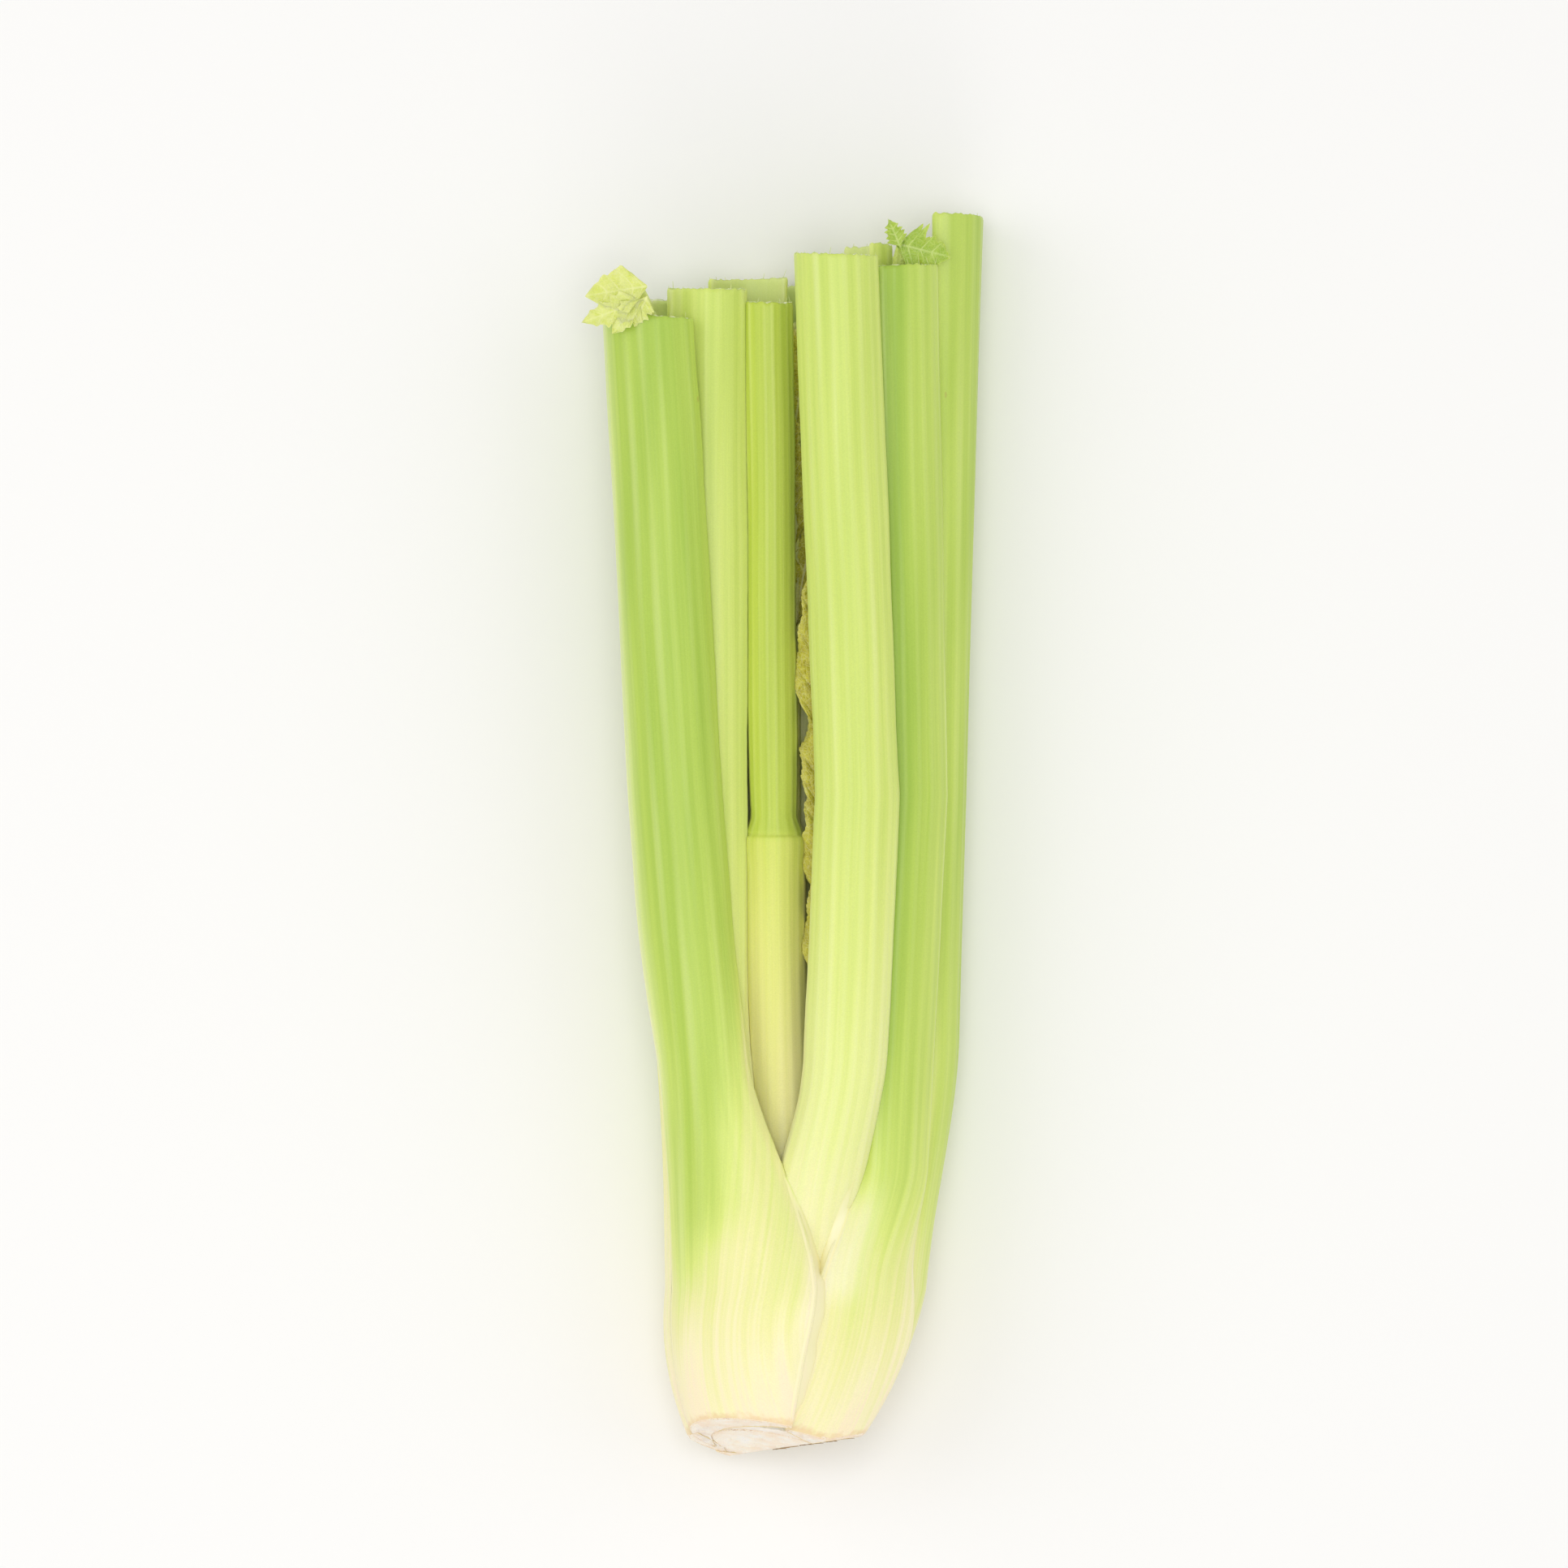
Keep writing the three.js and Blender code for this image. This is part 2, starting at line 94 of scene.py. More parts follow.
# low, middle and top are the stalk's place in the bundle: x, z and the way its ribs face.
# green gives heights and how green the skin is there; core where its deepest green runs.
stalks = {
    "stalk_front_left": {
        "whorl": 0, "angle": 142, "span": 129, "width": 32.5, "seed": 3,
        "leave": (26, 165), "narrow": (38, 122),
        "low": (-26.6, 49.3, 106), "middle": (-34.4, 50, 112), "top": (-43, 51, 118),
        "green": ([8, 30, 47, 60, 72, 96, 120, 180, 340], [0, 0.14, 0.3, 0.48, 0.62, 0.74, 0.76, 0.84, 0.88]),
        "core": ([47, 60, 76, 96, 114, 160], [-0.04, 0.06, 0.02, 0.08, -0.06, -0.1]),
        "coreWidth": ([50, 64, 76, 96, 112, 130, 160, 200], [0.24, 0.3, 0.42, 0.46, 0.62, 0.7, 0.85, 1.2]),
        "flank": ([47, 60, 76, 96, 112, 130, 160, 200], [0.34, 0.5, 0.52, 0.5, 0.5, 0.42, 0.22, 0.1]),
        # towards its left margin the skin is painted paler and whiter: the thin margin's own colour, with
        # painted light from the bright surroundings on that grazing flank
        "leftEdge": ([20, 60, 160, 350], [-0.2, -0.5, -0.45, -0.35]), "leftFrom": (0.3, 0.95),
    },
    "stalk_front_right": {
        "whorl": 0, "angle": 49, "span": 62, "width": 27, "seed": 5,
        "leave": (46, 88), "narrow": (26, 73), "curl": (36, 92),
        "low": (36.3, 46, 58), "middle": (41.2, 43, 58), "top": (38, 46, 62),
        "green": ([8, 30, 47, 60, 80, 110, 192, 355], [0.06, 0.2, 0.31, 0.38, 0.57, 0.71, 0.84, 0.84]),
        "core": ([60, 110, 355], [0.1, 0.5, 0.5]), "coreWidth": ([60, 110, 355], [0.6, 0.75, 0.8]),
        "flank": ([60, 110, 355], [0.4, 0.3, 0.26]),
        # from a height of about 100 up, the left side is painted deeper green: painted shade from
        # stalk_second_front, which shades the gap beside it
        "leftEdge": ([44, 52, 72, 84, 100, 125, 355], [0, -0.3, -0.25, 0, 0.15, 0.45, 0.45]),
        "leftFrom": (0.1, 0.6),
    },
    "stalk_right": {
        "whorl": 0, "angle": -4, "span": 60, "width": 33, "seed": 8,
        "leave": (30, 125),
        "middle": (50.8, 17, -6), "top": (55.8, 20, 8),
        "green": ([8, 30, 47, 72, 96, 144, 240, 370], [0.02, 0.17, 0.33, 0.52, 0.62, 0.73, 0.75, 0.82]),
    },
    "stalk_back_right": {
        "whorl": 0, "angle": -57, "span": 56, "width": 33, "seed": 12,
        "middle": (26, 3.8, -80), "top": (30, 3.8, -80),
    },
    "stalk_back_middle": {
        "whorl": 0, "angle": -109, "span": 52, "width": 32, "seed": 14,
        "middle": (-7, 3.5, -92), "top": (-5, 3.5, -90),
    },
    "stalk_back_left": {
        "whorl": 0, "angle": -159, "span": 50, "width": 30, "seed": 17,
        "middle": (-35, 19, -150), "top": (-39.5, 21, -146),
        "core": ([60, 180], [0.6, 0.6]), "coreWidth": ([60, 180], [0.55, 0.6]),
        "flank": ([40, 200, 260], [0.85, 0.7, 0.4]), "tuck": -1,
    },
    "stalk_second_front": {
        "whorl": 1, "angle": 75, "span": 84, "width": 27.5, "seed": 21,
        "leave": (56, 120), "narrow": (34, 112),
        "low": (18.5, 57, 86), "middle": (22.6, 57.5, 88), "top": (16, 60, 90),
    },
    "stalk_second_left": {
        "whorl": 1, "angle": 165, "span": 84, "width": 27, "seed": 23,
        "middle": (-24, 42, 108), "top": (-24, 43, 106),
        "green": ([0, 47, 72, 96, 144, 192, 350], [0, 0.2, 0.32, 0.4, 0.52, 0.64, 0.8]),
    },
    "stalk_second_back": {
        "whorl": 1, "angle": -103, "span": 84, "width": 26, "seed": 26,
        "middle": (-12, 18, -100), "top": (-11, 19, -98),
    },
    "stalk_second_right": {
        "whorl": 1, "angle": -14, "span": 76, "width": 26, "seed": 28,
        "middle": (27, 27, -20), "top": (29, 28, -20),
    },
    "stalk_inner_back": {
        "whorl": 2, "angle": -75, "span": 110, "width": 20, "seed": 31,
        "middle": (8, 21.5, -80), "top": (8, 22, -80),
    },
    "stalk_inner_front": {
        "whorl": 2, "angle": 105, "span": 110, "width": 20.5, "seed": 33,
        "middle": (-2.6, 42, 92), "top": (-4, 43, 90),
        "node": {"height": 185, "widthAbove": 16},
        "green": ([40, 96, 120, 144, 183, 187, 350], [0.1, 0.24, 0.34, 0.48, 0.72, 0.94, 1]),
    },
}
usualGreen = [
    ([8, 30, 47, 72, 96, 144, 240, 360], [0, 0.1, 0.22, 0.42, 0.58, 0.74, 0.8, 0.8]),
    ([8, 50, 72, 96, 120, 150, 192, 360], [0.05, 0.14, 0.24, 0.38, 0.44, 0.55, 0.72, 0.85]),
    ([20, 96, 144, 200, 340], [0.2, 0.4, 0.56, 0.75, 0.95]),
]
grid = {"columns": 73, "across": 8, "step": 2.0, "hiddenColumns": 41, "hiddenStep": 3.0}


def mix(a, b, t):
    return a + (b - a) * t


def ease(low, high, s):
    t = np.clip((s - low) / (high - low), 0, 1)
    return t * t * (3 - 2 * t)


def waver(seed, x, waves=4):
    # smooth seeded wandering between about -1 and 1, one turn for each unit of x
    dice = np.random.default_rng(seed)
    total = 0
    for _ in range(waves):
        total = total + np.sin(x * 2 * np.pi * dice.uniform(0.55, 1.7) + dice.uniform(0, 6.28))
    return total / waves ** 0.5 / 1.2


def grain(seed, x, z, size, waves=14):
    # seeded roughness over a plane, its bumps about size apart
    dice = np.random.default_rng(seed)
    total = 0
    for _ in range(waves):
        turn = dice.uniform(0, 6.28)
        pitch = 2 * np.pi / (size * dice.uniform(0.6, 1.9))
        total = total + np.sin((x * math.cos(turn) + z * math.sin(turn)) * pitch + dice.uniform(0, 6.28))
    return total / waves ** 0.5


def axisX(s):
    return head["axisX"] + head["axisLean"] * np.minimum(s, head["baseHeight"])


def ringRadius(whorl, s):
    below = 1 - np.minimum(s, head["baseHeight"]) / head["baseHeight"]
    return head["baseRadius"] - whorl["inset"] - whorl["drawIn"] * below * below


def cutHeight(x, z):
    # what both strokes left: the higher of the two planes
    left = -np.inf
    for cut in rootCuts:
        lean = cut["slopeX"] * (x - head["axisX"]) + cut["slopeZ"] * (z - head["axisZ"])
        left = np.maximum(left, cut["height"] + lean)
    return left


def startHeight(stalk):
    whorl = whorls[stalk["whorl"]]
    angle = math.radians(stalk["angle"])
    radius = ringRadius(whorl, 8)
    x = head["axisX"] + radius * math.cos(angle)
    z = head["axisZ"] + radius * math.sin(angle) * head["baseDepth"]
    return cutHeight(x, z) + whorl["start"]


def widthAt(stalk, s):
    width = stalk["width"] + 0.2 * waver(stalk["seed"], s / 150)
    node = stalk.get("node")
    if node:
        above = s - node["height"]
        width = mix(width, node["widthAbove"], ease(-0.6, 6.5, above))
        swell = nodeForm["swell"] * np.exp(-((above + 3) / nodeForm["swellReach"]) ** 2)
        width = width + swell * ease(0.3, -0.9, above)
    return width


def placeAt(stalk, s):
    # x, z and facing at height s, all arrays
    upper = (s - head["middleHeight"]) / (stalk["height"] - head["middleHeight"])
    lower = (s - head["middleHeight"]) / (head["lowHeight"] - head["middleHeight"])
    found = []
    for k in range(3):
        middle, top = stalk["middle"][k], stalk["top"][k]
        value = mix(middle, top, np.clip(upper, 0, 1) if k == 2 else upper)
        if "low" in stalk:
            t = np.clip(lower, 0, 1) if k == 2 else lower
            value = np.where(s < head["middleHeight"], mix(middle, stalk["low"][k], t), value)
        found.append(value)
    return found


def crescentAt(stalk, s):
    whorl = whorls[stalk["whorl"]]
    radius = ringRadius(whorl, s)
    angle = math.radians(stalk["angle"])
    width = widthAt(stalk, s)
    leave = ease(*stalk.get("leave", head["leave"]), s)
    narrow = ease(*stalk.get("narrow", head["narrow"]), s)
    curl = ease(*stalk.get("curl", stalk.get("narrow", head["narrow"])), s)
    placeX, placeZ, face = placeAt(stalk, s)
    bend = 1 / mix(1 / radius, 1 / (width * section["radius"]), curl)
    found = {
        "x": mix(axisX(s) + radius * math.cos(angle), placeX, leave),
        "z": mix(head["axisZ"] + radius * math.sin(angle) * head["baseDepth"], placeZ, leave),
        "face": np.radians(mix(stalk["angle"] + whorl["twist"], face, leave)),
        "radius": bend,
        "arc": mix(radius * math.radians(stalk["span"]), width, narrow),
        "wall": mix(whorl["wall"], width * section["wall"], narrow),
        "rim": mix(section["sheathRim"], width * section["rim"], narrow),
        "depth": mix(head["baseDepth"], 1, leave),
        "rib": whorl["rib"] * ease(20, 90, s),
        "lift": whorl["lift"] * (1 - curl),
        "tuck": stalk.get("tuck", 0),
    }
    found["half"] = found["arc"] / 2 / bend
    found["centreX"] = found["x"] - bend * np.cos(found["face"])
    found["centreZ"] = -bend * np.sin(found["face"])
    return found


def wallAt(c, u):
    return mix(c["rim"], c["wall"], 1 - np.minimum(np.abs(u), 1) ** section["thinning"]) / 2


def nodeDepth(stalk, s):
    # how far the skin lies in at a node: a crease, and a slimmer stalk above it
    if "node" not in stalk:
        return 0
    above = s - stalk["node"]["height"]
    crease = nodeForm["crease"] * np.exp(-((above - 0.1) / nodeForm["creaseReach"]) ** 2)
    return crease + nodeForm["step"] * ease(-0.2, 0.9, above) * ease(16, 2, above)


def liftAt(c, u):
    # the sheathing bases lie flush: towards the margins the whole thin wall moves outwards,
    # but a margin that is tucked under its neighbour moves inwards
    lift = np.where(u * c["tuck"] > 0, -0.5 * c["lift"], c["lift"])
    return lift * (c["wall"] - c["rim"]) / 2 * np.minimum(np.abs(u), 1) ** section["thinning"]


def ribAt(stalk, u, s):
    # rounded ribs that wander a little, each with its own strength
    dice = np.random.default_rng(stalk["seed"] + 100)
    strength = dice.uniform(0.5, 1.35, section["ribs"] + 1)
    where = (u + 1 + 0.015 * waver(stalk["seed"] + 7, s / 160)) * section["ribs"] / 2
    index = np.clip(np.floor(where).astype(int), 0, section["ribs"])
    fade = 0.8 + 0.3 * waver(stalk["seed"] + 11, s / 170 + index * 0.37)
    return strength[index] * fade * (0.5 - 0.5 * np.cos(2 * np.pi * where))


def pointsAt(stalk, u, side, out, s, clearance=0):
    # side is 1 on the ribbed skin and -1 on the hollow skin; out is how far round the margin
    c = crescentAt(stalk, s)
    margin = waver(stalk["seed"] + 3, s / 60) * 0.16 + waver(stalk["seed"] + 4, s / 9) * 0.05
    a = c["face"] + u * (c["half"] + margin / c["radius"]) + out * (c["rim"] / 2 + clearance) / c["radius"]
    thick = wallAt(c, u) + clearance
    swell = 0.12 * waver(stalk["seed"] + 5, s / 140 + u * 0.3)
    rib = np.where((side > 0) & (out == 0), ribAt(stalk, u, s) * c["rib"] * side, 0)
    r = c["radius"] + side * thick + liftAt(c, u) + swell + rib - side * nodeDepth(stalk, s)
    x = c["centreX"] + r * np.cos(a)
    z = c["z"] + (c["centreZ"] + r * np.sin(a)) * c["depth"]
    return x, np.maximum(z, 0)


def tubeFaces(rings, sides):
    # quads from ring to ring, and last a cap at each end
    index = np.arange(rings * sides).reshape(rings, sides)
    following = np.roll(index, -1, axis=1)
    quads = np.stack([index[:-1], index[1:], following[1:], following[:-1]], axis=-1)
    return quads.reshape(-1, 4).tolist() + [index[0].tolist(), index[-1][::-1].tolist()]


def sheetFaces(rows, columns):
    # an upper grid of points, the lower one that follows it, and the rim between them
    index = np.arange(rows * columns).reshape(rows, columns)
    a, b, c, d = index[:-1, :-1], index[:-1, 1:], index[1:, 1:], index[1:, :-1]
    upper = np.stack([a, b, c, d], axis=-1).reshape(-1, 4)
    lower = np.stack([a, d, c, b], axis=-1).reshape(-1, 4) + index.size
    border = np.concatenate([index[0, :], index[1:, -1], index[-1, -2::-1], index[-2:0:-1, 0]])
    after = np.roll(border, -1)
    rim = np.stack([border, border + index.size, after + index.size, after], axis=-1)
    return np.concatenate([upper, lower, rim])


def stalkGrid(stalk, columns, across, step, clearance=0):
    # vertices and faces of one closed stalk, in millimetres
    outerU = np.linspace(-1, 1, columns)
    turn = np.radians(90 - 180 * np.arange(1, across) / across)
    u = np.concatenate([outerU, np.ones(across - 1), outerU[::-1], -np.ones(across - 1)])
    side = np.concatenate([np.ones(columns), np.sin(turn), -np.ones(columns), np.sin(turn[::-1])])
    out = np.concatenate([np.zeros(columns), np.cos(turn), np.zeros(columns), -np.cos(turn[::-1])])
    low, top = startHeight(stalk), stalk["height"]
    near = [0, 0.35, 0.9, 1.7, 2.8, 4.2]
    rows = [low + d for d in near] + [top - d for d in near[:-1]]
    rows += list(np.arange(low + 6, top - 3, step))
    if "node" in stalk:
        rows += [stalk["node"]["height"] + 0.3 * k for k in range(-14, 15)]
    rows = np.array(sorted(rows))[:, None]
    atCut = np.full((1, len(u)), low)
    if stalk["whorl"] == 0:
        for _ in range(5):
            atCut = cutHeight(*pointsAt(stalk, u, side, out, atCut))
    s = rows + (atCut - low) * (1 - ease(low, low + 24, rows))
    dice = np.random.default_rng(stalk["seed"] + 50)
    tiltX, tiltZ = dice.uniform(-knife["tilt"], knife["tilt"], 2)
    topX, topZ = pointsAt(stalk, u, side, out, np.full((1, len(u)), float(top)))

    def topOffset(x, z):
        tilt = tiltX * (x - stalk["top"][0]) + tiltZ * (z - stalk["top"][1])
        ragged = knife["ragged"] * grain(stalk["seed"] + 51, x, z, knife["raggedSize"])
        return tilt - knife["drop"] + ragged

    s = s + topOffset(topX, topZ) * ease(top - 12, top, rows)
    x, z = pointsAt(stalk, u, side, out, s, clearance)
    # both cut edges are a little rounded: the skin there shrinks towards the wall's middle
    cutEdge = np.maximum(1 - (rows - low) / 1.3, 0) if stalk["whorl"] == 0 else np.zeros_like(rows)
    rounding = knife["rounding"] * np.maximum(cutEdge, np.maximum(1 - (top - rows) / 0.9, 0)) ** 2
    middleX, middleZ = pointsAt(stalk, u, side * 0, out * 0, s)
    away = np.maximum(np.hypot(x - middleX, z - middleZ), 0.01)
    x = mix(x, middleX, np.minimum(rounding / away, 1))
    z = mix(z, middleZ, np.minimum(rounding / away, 1))
    count = len(u)
    points = [np.stack([x, s + np.zeros_like(x), z], axis=-1).reshape(-1, 3)]
    rings = len(rows)

    # in place of the caps, each cut is a grid between the ribbed skin and the hollow one
    faces = tubeFaces(rings, count)[:-2]
    start = rings * count
    inner = np.arange(1, across)
    cutSide = np.sin(np.radians(90 - 180 * inner / across))
    for end in (0, 1):
        gridU, gridSide = np.meshgrid(outerU, cutSide, indexing="ij")
        flat = gridU.ravel(), gridSide.ravel(), np.zeros(gridU.size)
        height = np.full(gridU.size, float(top if end else low))
        wear = 1 - gridSide.ravel() ** 4
        for _ in range(4 if stalk["whorl"] == 0 and not end else 0):
            height = cutHeight(*pointsAt(stalk, *flat, height))
        px, pz = pointsAt(stalk, *flat, height, clearance)
        if end:
            height = height + topOffset(px, pz) - 0.3 * wear
            ribs = ribAt(stalk, flat[0], height) * np.exp(-(((flat[1] - 0.55) / 0.3) ** 2))
            height = height + 0.3 * ribs + 0.12 * wear * grain(stalk["seed"] + 53, px, pz, 1.1)
        elif stalk["whorl"] == 0:
            height = height + wear * (0.25 + 0.16 * grain(stalk["seed"] + 52, px, pz, 1.8))
        points.append(np.stack([px, height, pz], axis=-1))
        base = end * (rings - 1) * count
        outer = base + np.arange(columns)
        right = base + columns + inner - 1
        hollow = base + columns + across - 1 + np.arange(columns)[::-1]
        left = base + count - inner
        body = start + np.arange(columns * (across - 1)).reshape(columns, across - 1)
        cells = np.concatenate([outer[:, None], body, hollow[:, None]], axis=1)
        rightEdge = np.concatenate([[cells[-1, 0]], right, [cells[-1, -1]]])
        leftEdge = np.concatenate([[cells[0, 0]], left, [cells[0, -1]]])
        sheets = [(cells[:-1], cells[1:]), (cells[-1:], rightEdge[None]), (leftEdge[None], cells[:1])]
        for here, there in sheets:
            for row, following in zip(here, there):
                for m in range(across):
                    face = [row[m], following[m], following[m + 1], row[m + 1]]
                    face = list(dict.fromkeys(int(v) for v in face))
                    faces.append(face[::-1] if end else face)
        start += columns * (across - 1)
    return np.concatenate(points), faces


# how much paler the margins are, how far the green drifts, and the least green low and high up
greenRules = {"margin": 0.16, "drift": 0.035, "least": (0.1, 0.16)}


def toneAt(stalk, u, s):
    # how green the skin is: 0 is blanched
    green = np.interp(s, *stalk.get("green", usualGreen[stalk["whorl"]]))
    core = np.interp(s, *stalk.get("core", ([0, 1], [0, 0])))
    coreWidth = np.interp(s, *stalk.get("coreWidth", ([0, 1], [0.9, 0.9])))
    flank = 1 - np.exp(-(((u - core) / coreWidth) ** 2))
    green = green * (1 - flank * np.interp(s, *stalk.get("flank", ([60, 160], [0.5, 0.16]))))
    # a leftEdge above 0 paints the left side greener, as painted shade from the neighbour there; below 0 it
    # paints it paler, partly the margin's own colour and partly painted light from the bright surroundings
    leftEdge = np.interp(s, *stalk.get("leftEdge", ([0, 1], [0, 0])))
    green = green * (1 + leftEdge * ease(*stalk.get("leftFrom", (0.2, 0.85)), u))
    green = green - greenRules["margin"] * ease(0.84, 1.02, np.abs(u))
    green = green + greenRules["drift"] * waver(stalk["seed"] + 30, s / 120 + u * 0.7)
    leastLow, leastHigh = greenRules["least"]
    return np.maximum(green, leastLow * ease(14, 35, s) + leastHigh * ease(45, 100, s))


def paleAt(stalk, u, s):
    # the left margin of a stalk that has one is painted whitish: partly the thin margin's own paleness,
    # partly painted light reflected from the bright surroundings onto that grazing flank
    leftEdge = np.interp(s, *stalk.get("leftEdge", ([0, 1], [0, 0])))
    return np.maximum(-leftEdge, 0) * ease(*stalk.get("leftFrom", (0.2, 0.85)), u)


def meshObject(name, points, faces):
    # points come in millimetres along the head, and go where the frame has them
    mesh = bpy.data.meshes.new(name)
    placed = np.array(points, float) - np.array([0, headLength / 2, 0])
    mesh.from_pydata((placed * millimetre).tolist(), [], faces)
    mesh.validate()
    piece = bpy.data.objects.new(name, mesh)
    bpy.context.scene.collection.objects.link(piece)
    return piece


def vertexPlaces(mesh):
    places = np.zeros(len(mesh.vertices) * 3, np.float32)
    mesh.vertices.foreach_get("co", places)
    return places.reshape(-1, 3).astype(float) / millimetre + np.array([0, headLength / 2, 0])


def writeAttribute(mesh, name, values):
    vector = values.ndim == 2
    made = mesh.attributes.new(name, "FLOAT_VECTOR" if vector else "FLOAT", "POINT")
    made.data.foreach_set("vector" if vector else "value", values.astype(np.float32).ravel())


def keepLargest(mesh):
    # drops the crumbs that a cut leaves, so that the piece is one body
    edges = np.zeros(len(mesh.edges) * 2, np.int32)
    mesh.edges.foreach_get("vertices", edges)
    a, b = edges[::2], edges[1::2]
    label = np.arange(len(mesh.vertices))
    while True:
        least = np.minimum(label[a], label[b])
        before = label.copy()
        np.minimum.at(label, a, least)
        np.minimum.at(label, b, least)
        label = label[label]
        if np.array_equal(before, label):
            break
    names, counts = np.unique(label, return_counts=True)
    if len(names) == 1:
        return
    keep = names[counts.argmax()]
    work = bmesh.new()
    work.from_mesh(mesh)
    work.verts.ensure_lookup_table()
    crumbs = [work.verts[int(k)] for k in np.nonzero(label != keep)[0]]
    bmesh.ops.delete(work, geom=crumbs, context="VERTS")
    work.to_mesh(mesh)
    work.free()


def boxesMeet(a, b):
    pa, pb = vertexPlaces(a.data), vertexPlaces(b.data)
    return bool(np.all(pa.min(0) < pb.max(0)) and np.all(pb.min(0) < pa.max(0)))


def cutClear(piece, swollenPieces, oneBody=True):
    for swollen in swollenPieces:
        if boxesMeet(piece, swollen):
            cut = piece.modifiers.new("clear", "BOOLEAN")
            cut.operation = "DIFFERENCE"
            cut.solver = "MANIFOLD"
            cut.object = swollen
    if not piece.modifiers:
        return
    graph = bpy.context.evaluated_depsgraph_get()
    mesh = bpy.data.meshes.new_from_object(piece.evaluated_get(graph))
    mesh.materials.clear()
    piece.modifiers.clear()
    old = piece.data
    piece.data = mesh
    bpy.data.meshes.remove(old)
    if oneBody:
        keepLargest(mesh)


def smoothPiece(mesh, angle=42):
    for polygon in mesh.polygons:
        polygon.use_smooth = True
    mesh.set_sharp_from_angle(angle=math.radians(angle))


def describeStalk(piece, stalk):
    # where each point is on its stalk, and how green and how ribbed the skin is there
    mesh = piece.data
    x, s, z = vertexPlaces(mesh).T
    c = crescentAt(stalk, s)
    along, up = x - c["centreX"], (z - c["z"]) / c["depth"] - c["centreZ"]
    a = np.arctan2(up, along) - c["face"]
    a = (a + np.pi) % (2 * np.pi) - np.pi
    u = a / c["half"]
    r = np.hypot(along, up)
    through = (r - c["radius"] - liftAt(c, u)) / wallAt(c, u)
    inside = ease(0.15, -0.6, through)
    rib = ribAt(stalk, np.clip(u, -1, 1), s) * ease(8, 60, s) * (1 - inside)
    green = toneAt(stalk, u, s) - 0.1 * inside
    fromRoot = s - cutHeight(x, z)
    found = {
        "place": np.stack([a * c["radius"], s, r - c["radius"]], axis=-1),
        "tone": np.clip(green, 0, 1), "rib": np.clip(rib, 0, 1.6) / 1.6, "inside": inside,
        "pale": paleAt(stalk, u, s) * (1 - inside), "fromRoot": fromRoot,
        "edge": np.maximum(np.abs(np.clip(through, -1, 1)), ease(0.8, 1.02, np.abs(u))),
    }
    for key, values in found.items():
        writeAttribute(mesh, key, values)
    # cut faces get their own finish: slot 1 for the tops, slot 2 for the root
    for polygon in mesh.polygons:
        height = polygon.center.y / millimetre + headLength / 2
        facing = polygon.normal.y
        level = fromRoot[polygon.vertices[0]]
        if facing > 0.6 and height > stalk["height"] - 4:
            polygon.material_index = 1
        elif facing < -0.6 and level < 1.6:
            polygon.material_index = 2


def linearColour(hexValue):
    channels = [int(hexValue[k:k + 2], 16) / 255 for k in (1, 3, 5)]
    return [c / 12.92 if c <= 0.04045 else ((c + 0.055) / 1.055) ** 2.4 for c in channels] + [1]


def addNode(tree, kind, settings=None, inputs=None, out=0):
    # one node with its settings and links, by its output; an input is a value or an output
    made = tree.nodes.new("ShaderNode" + kind)
    for name, value in (settings or {}).items():
        if name == "stops":
            stops = made.color_ramp.elements
            stops.remove(stops[1])
            stops[0].position, stops[0].color = value[0][0], linearColour(value[0][1])
            for position, colour in value[1:]:
                stops.new(position).color = linearColour(colour)
        else:
            setattr(made, name, value)
    for key, value in (inputs or {}).items():
        if isinstance(value, bpy.types.NodeSocket):
            tree.links.new(value, made.inputs[key])
        else:
            made.inputs[key].default_value = value
    return made.outputs[out]


def coverShader(tree, shader, colour, relief, height, strength):
    # gives the shader its colour, and a fine relief with its height in metres
    bump = addNode(tree, "Bump", {}, {"Height": relief, "Distance": height, "Strength": strength})
    tree.links.new(colour, shader.inputs["Base Color"])
    tree.links.new(bump, shader.inputs["Normal"])


# light goes a few millimetres into wet plant tissue, and comes out yellow-green
tissue = {"lightReach": 0.0035, "channels": (1.0, 0.9, 0.35)}


def newMaterial(name, roughness, ior, subsurface=0.0):
    material = bpy.data.materials.new(name)
    material.use_nodes = True
    tree = material.node_tree
    shader = tree.nodes["Principled BSDF"]
    shader.inputs["Roughness"].default_value = roughness
    shader.inputs["IOR"].default_value = ior
    shader.inputs["Subsurface Weight"].default_value = subsurface
    shader.inputs["Subsurface Radius"].default_value = tissue["channels"]
    shader.inputs["Subsurface Scale"].default_value = tissue["lightReach"]
    return material, tree, shader


# Celery petiole skin: a thin waxy cuticle over strings (collenchyma) and watery flesh.
# The eye sees soft satin gloss, pale ridges over darker valleys, fine lengthwise threads
# under a millimetre apart, and blanched cream that turns green away from the root.
skins = {
    "outer": {
        "stops": [(0, "#feedc8"), (0.1, "#fbf2c0"), (0.24, "#f0eea4"), (0.42, "#dce97e"),
                  (0.6, "#c8dc6a"), (0.8, "#b7d058"), (1, "#a3c248")],
        "ridge": "#e9f2ae", "valley": "#a9c74c", "hollow": "#dde99c",
    },
    "second": {
        "stops": [(0, "#fcefc6"), (0.2, "#f4f1b4"), (0.4, "#e9f09a"), (0.56, "#e0eb86"),
                  (0.75, "#d2e274"), (1, "#bfd560")],
        "ridge": "#f1f6bd", "valley": "#b9d25c", "hollow": "#dbe79a",
    },
    "heart": {
        "stops": [(0, "#faf3c4"), (0.3, "#f4ee9e"), (0.5, "#ecec8a"), (0.7, "#dbe36d"),
                  (0.86, "#cbdb5c"), (1, "#bccf50")],
        "ridge": "#f2f4b0", "valley": "#c6d455", "hollow": "#edefb0",
    },
}
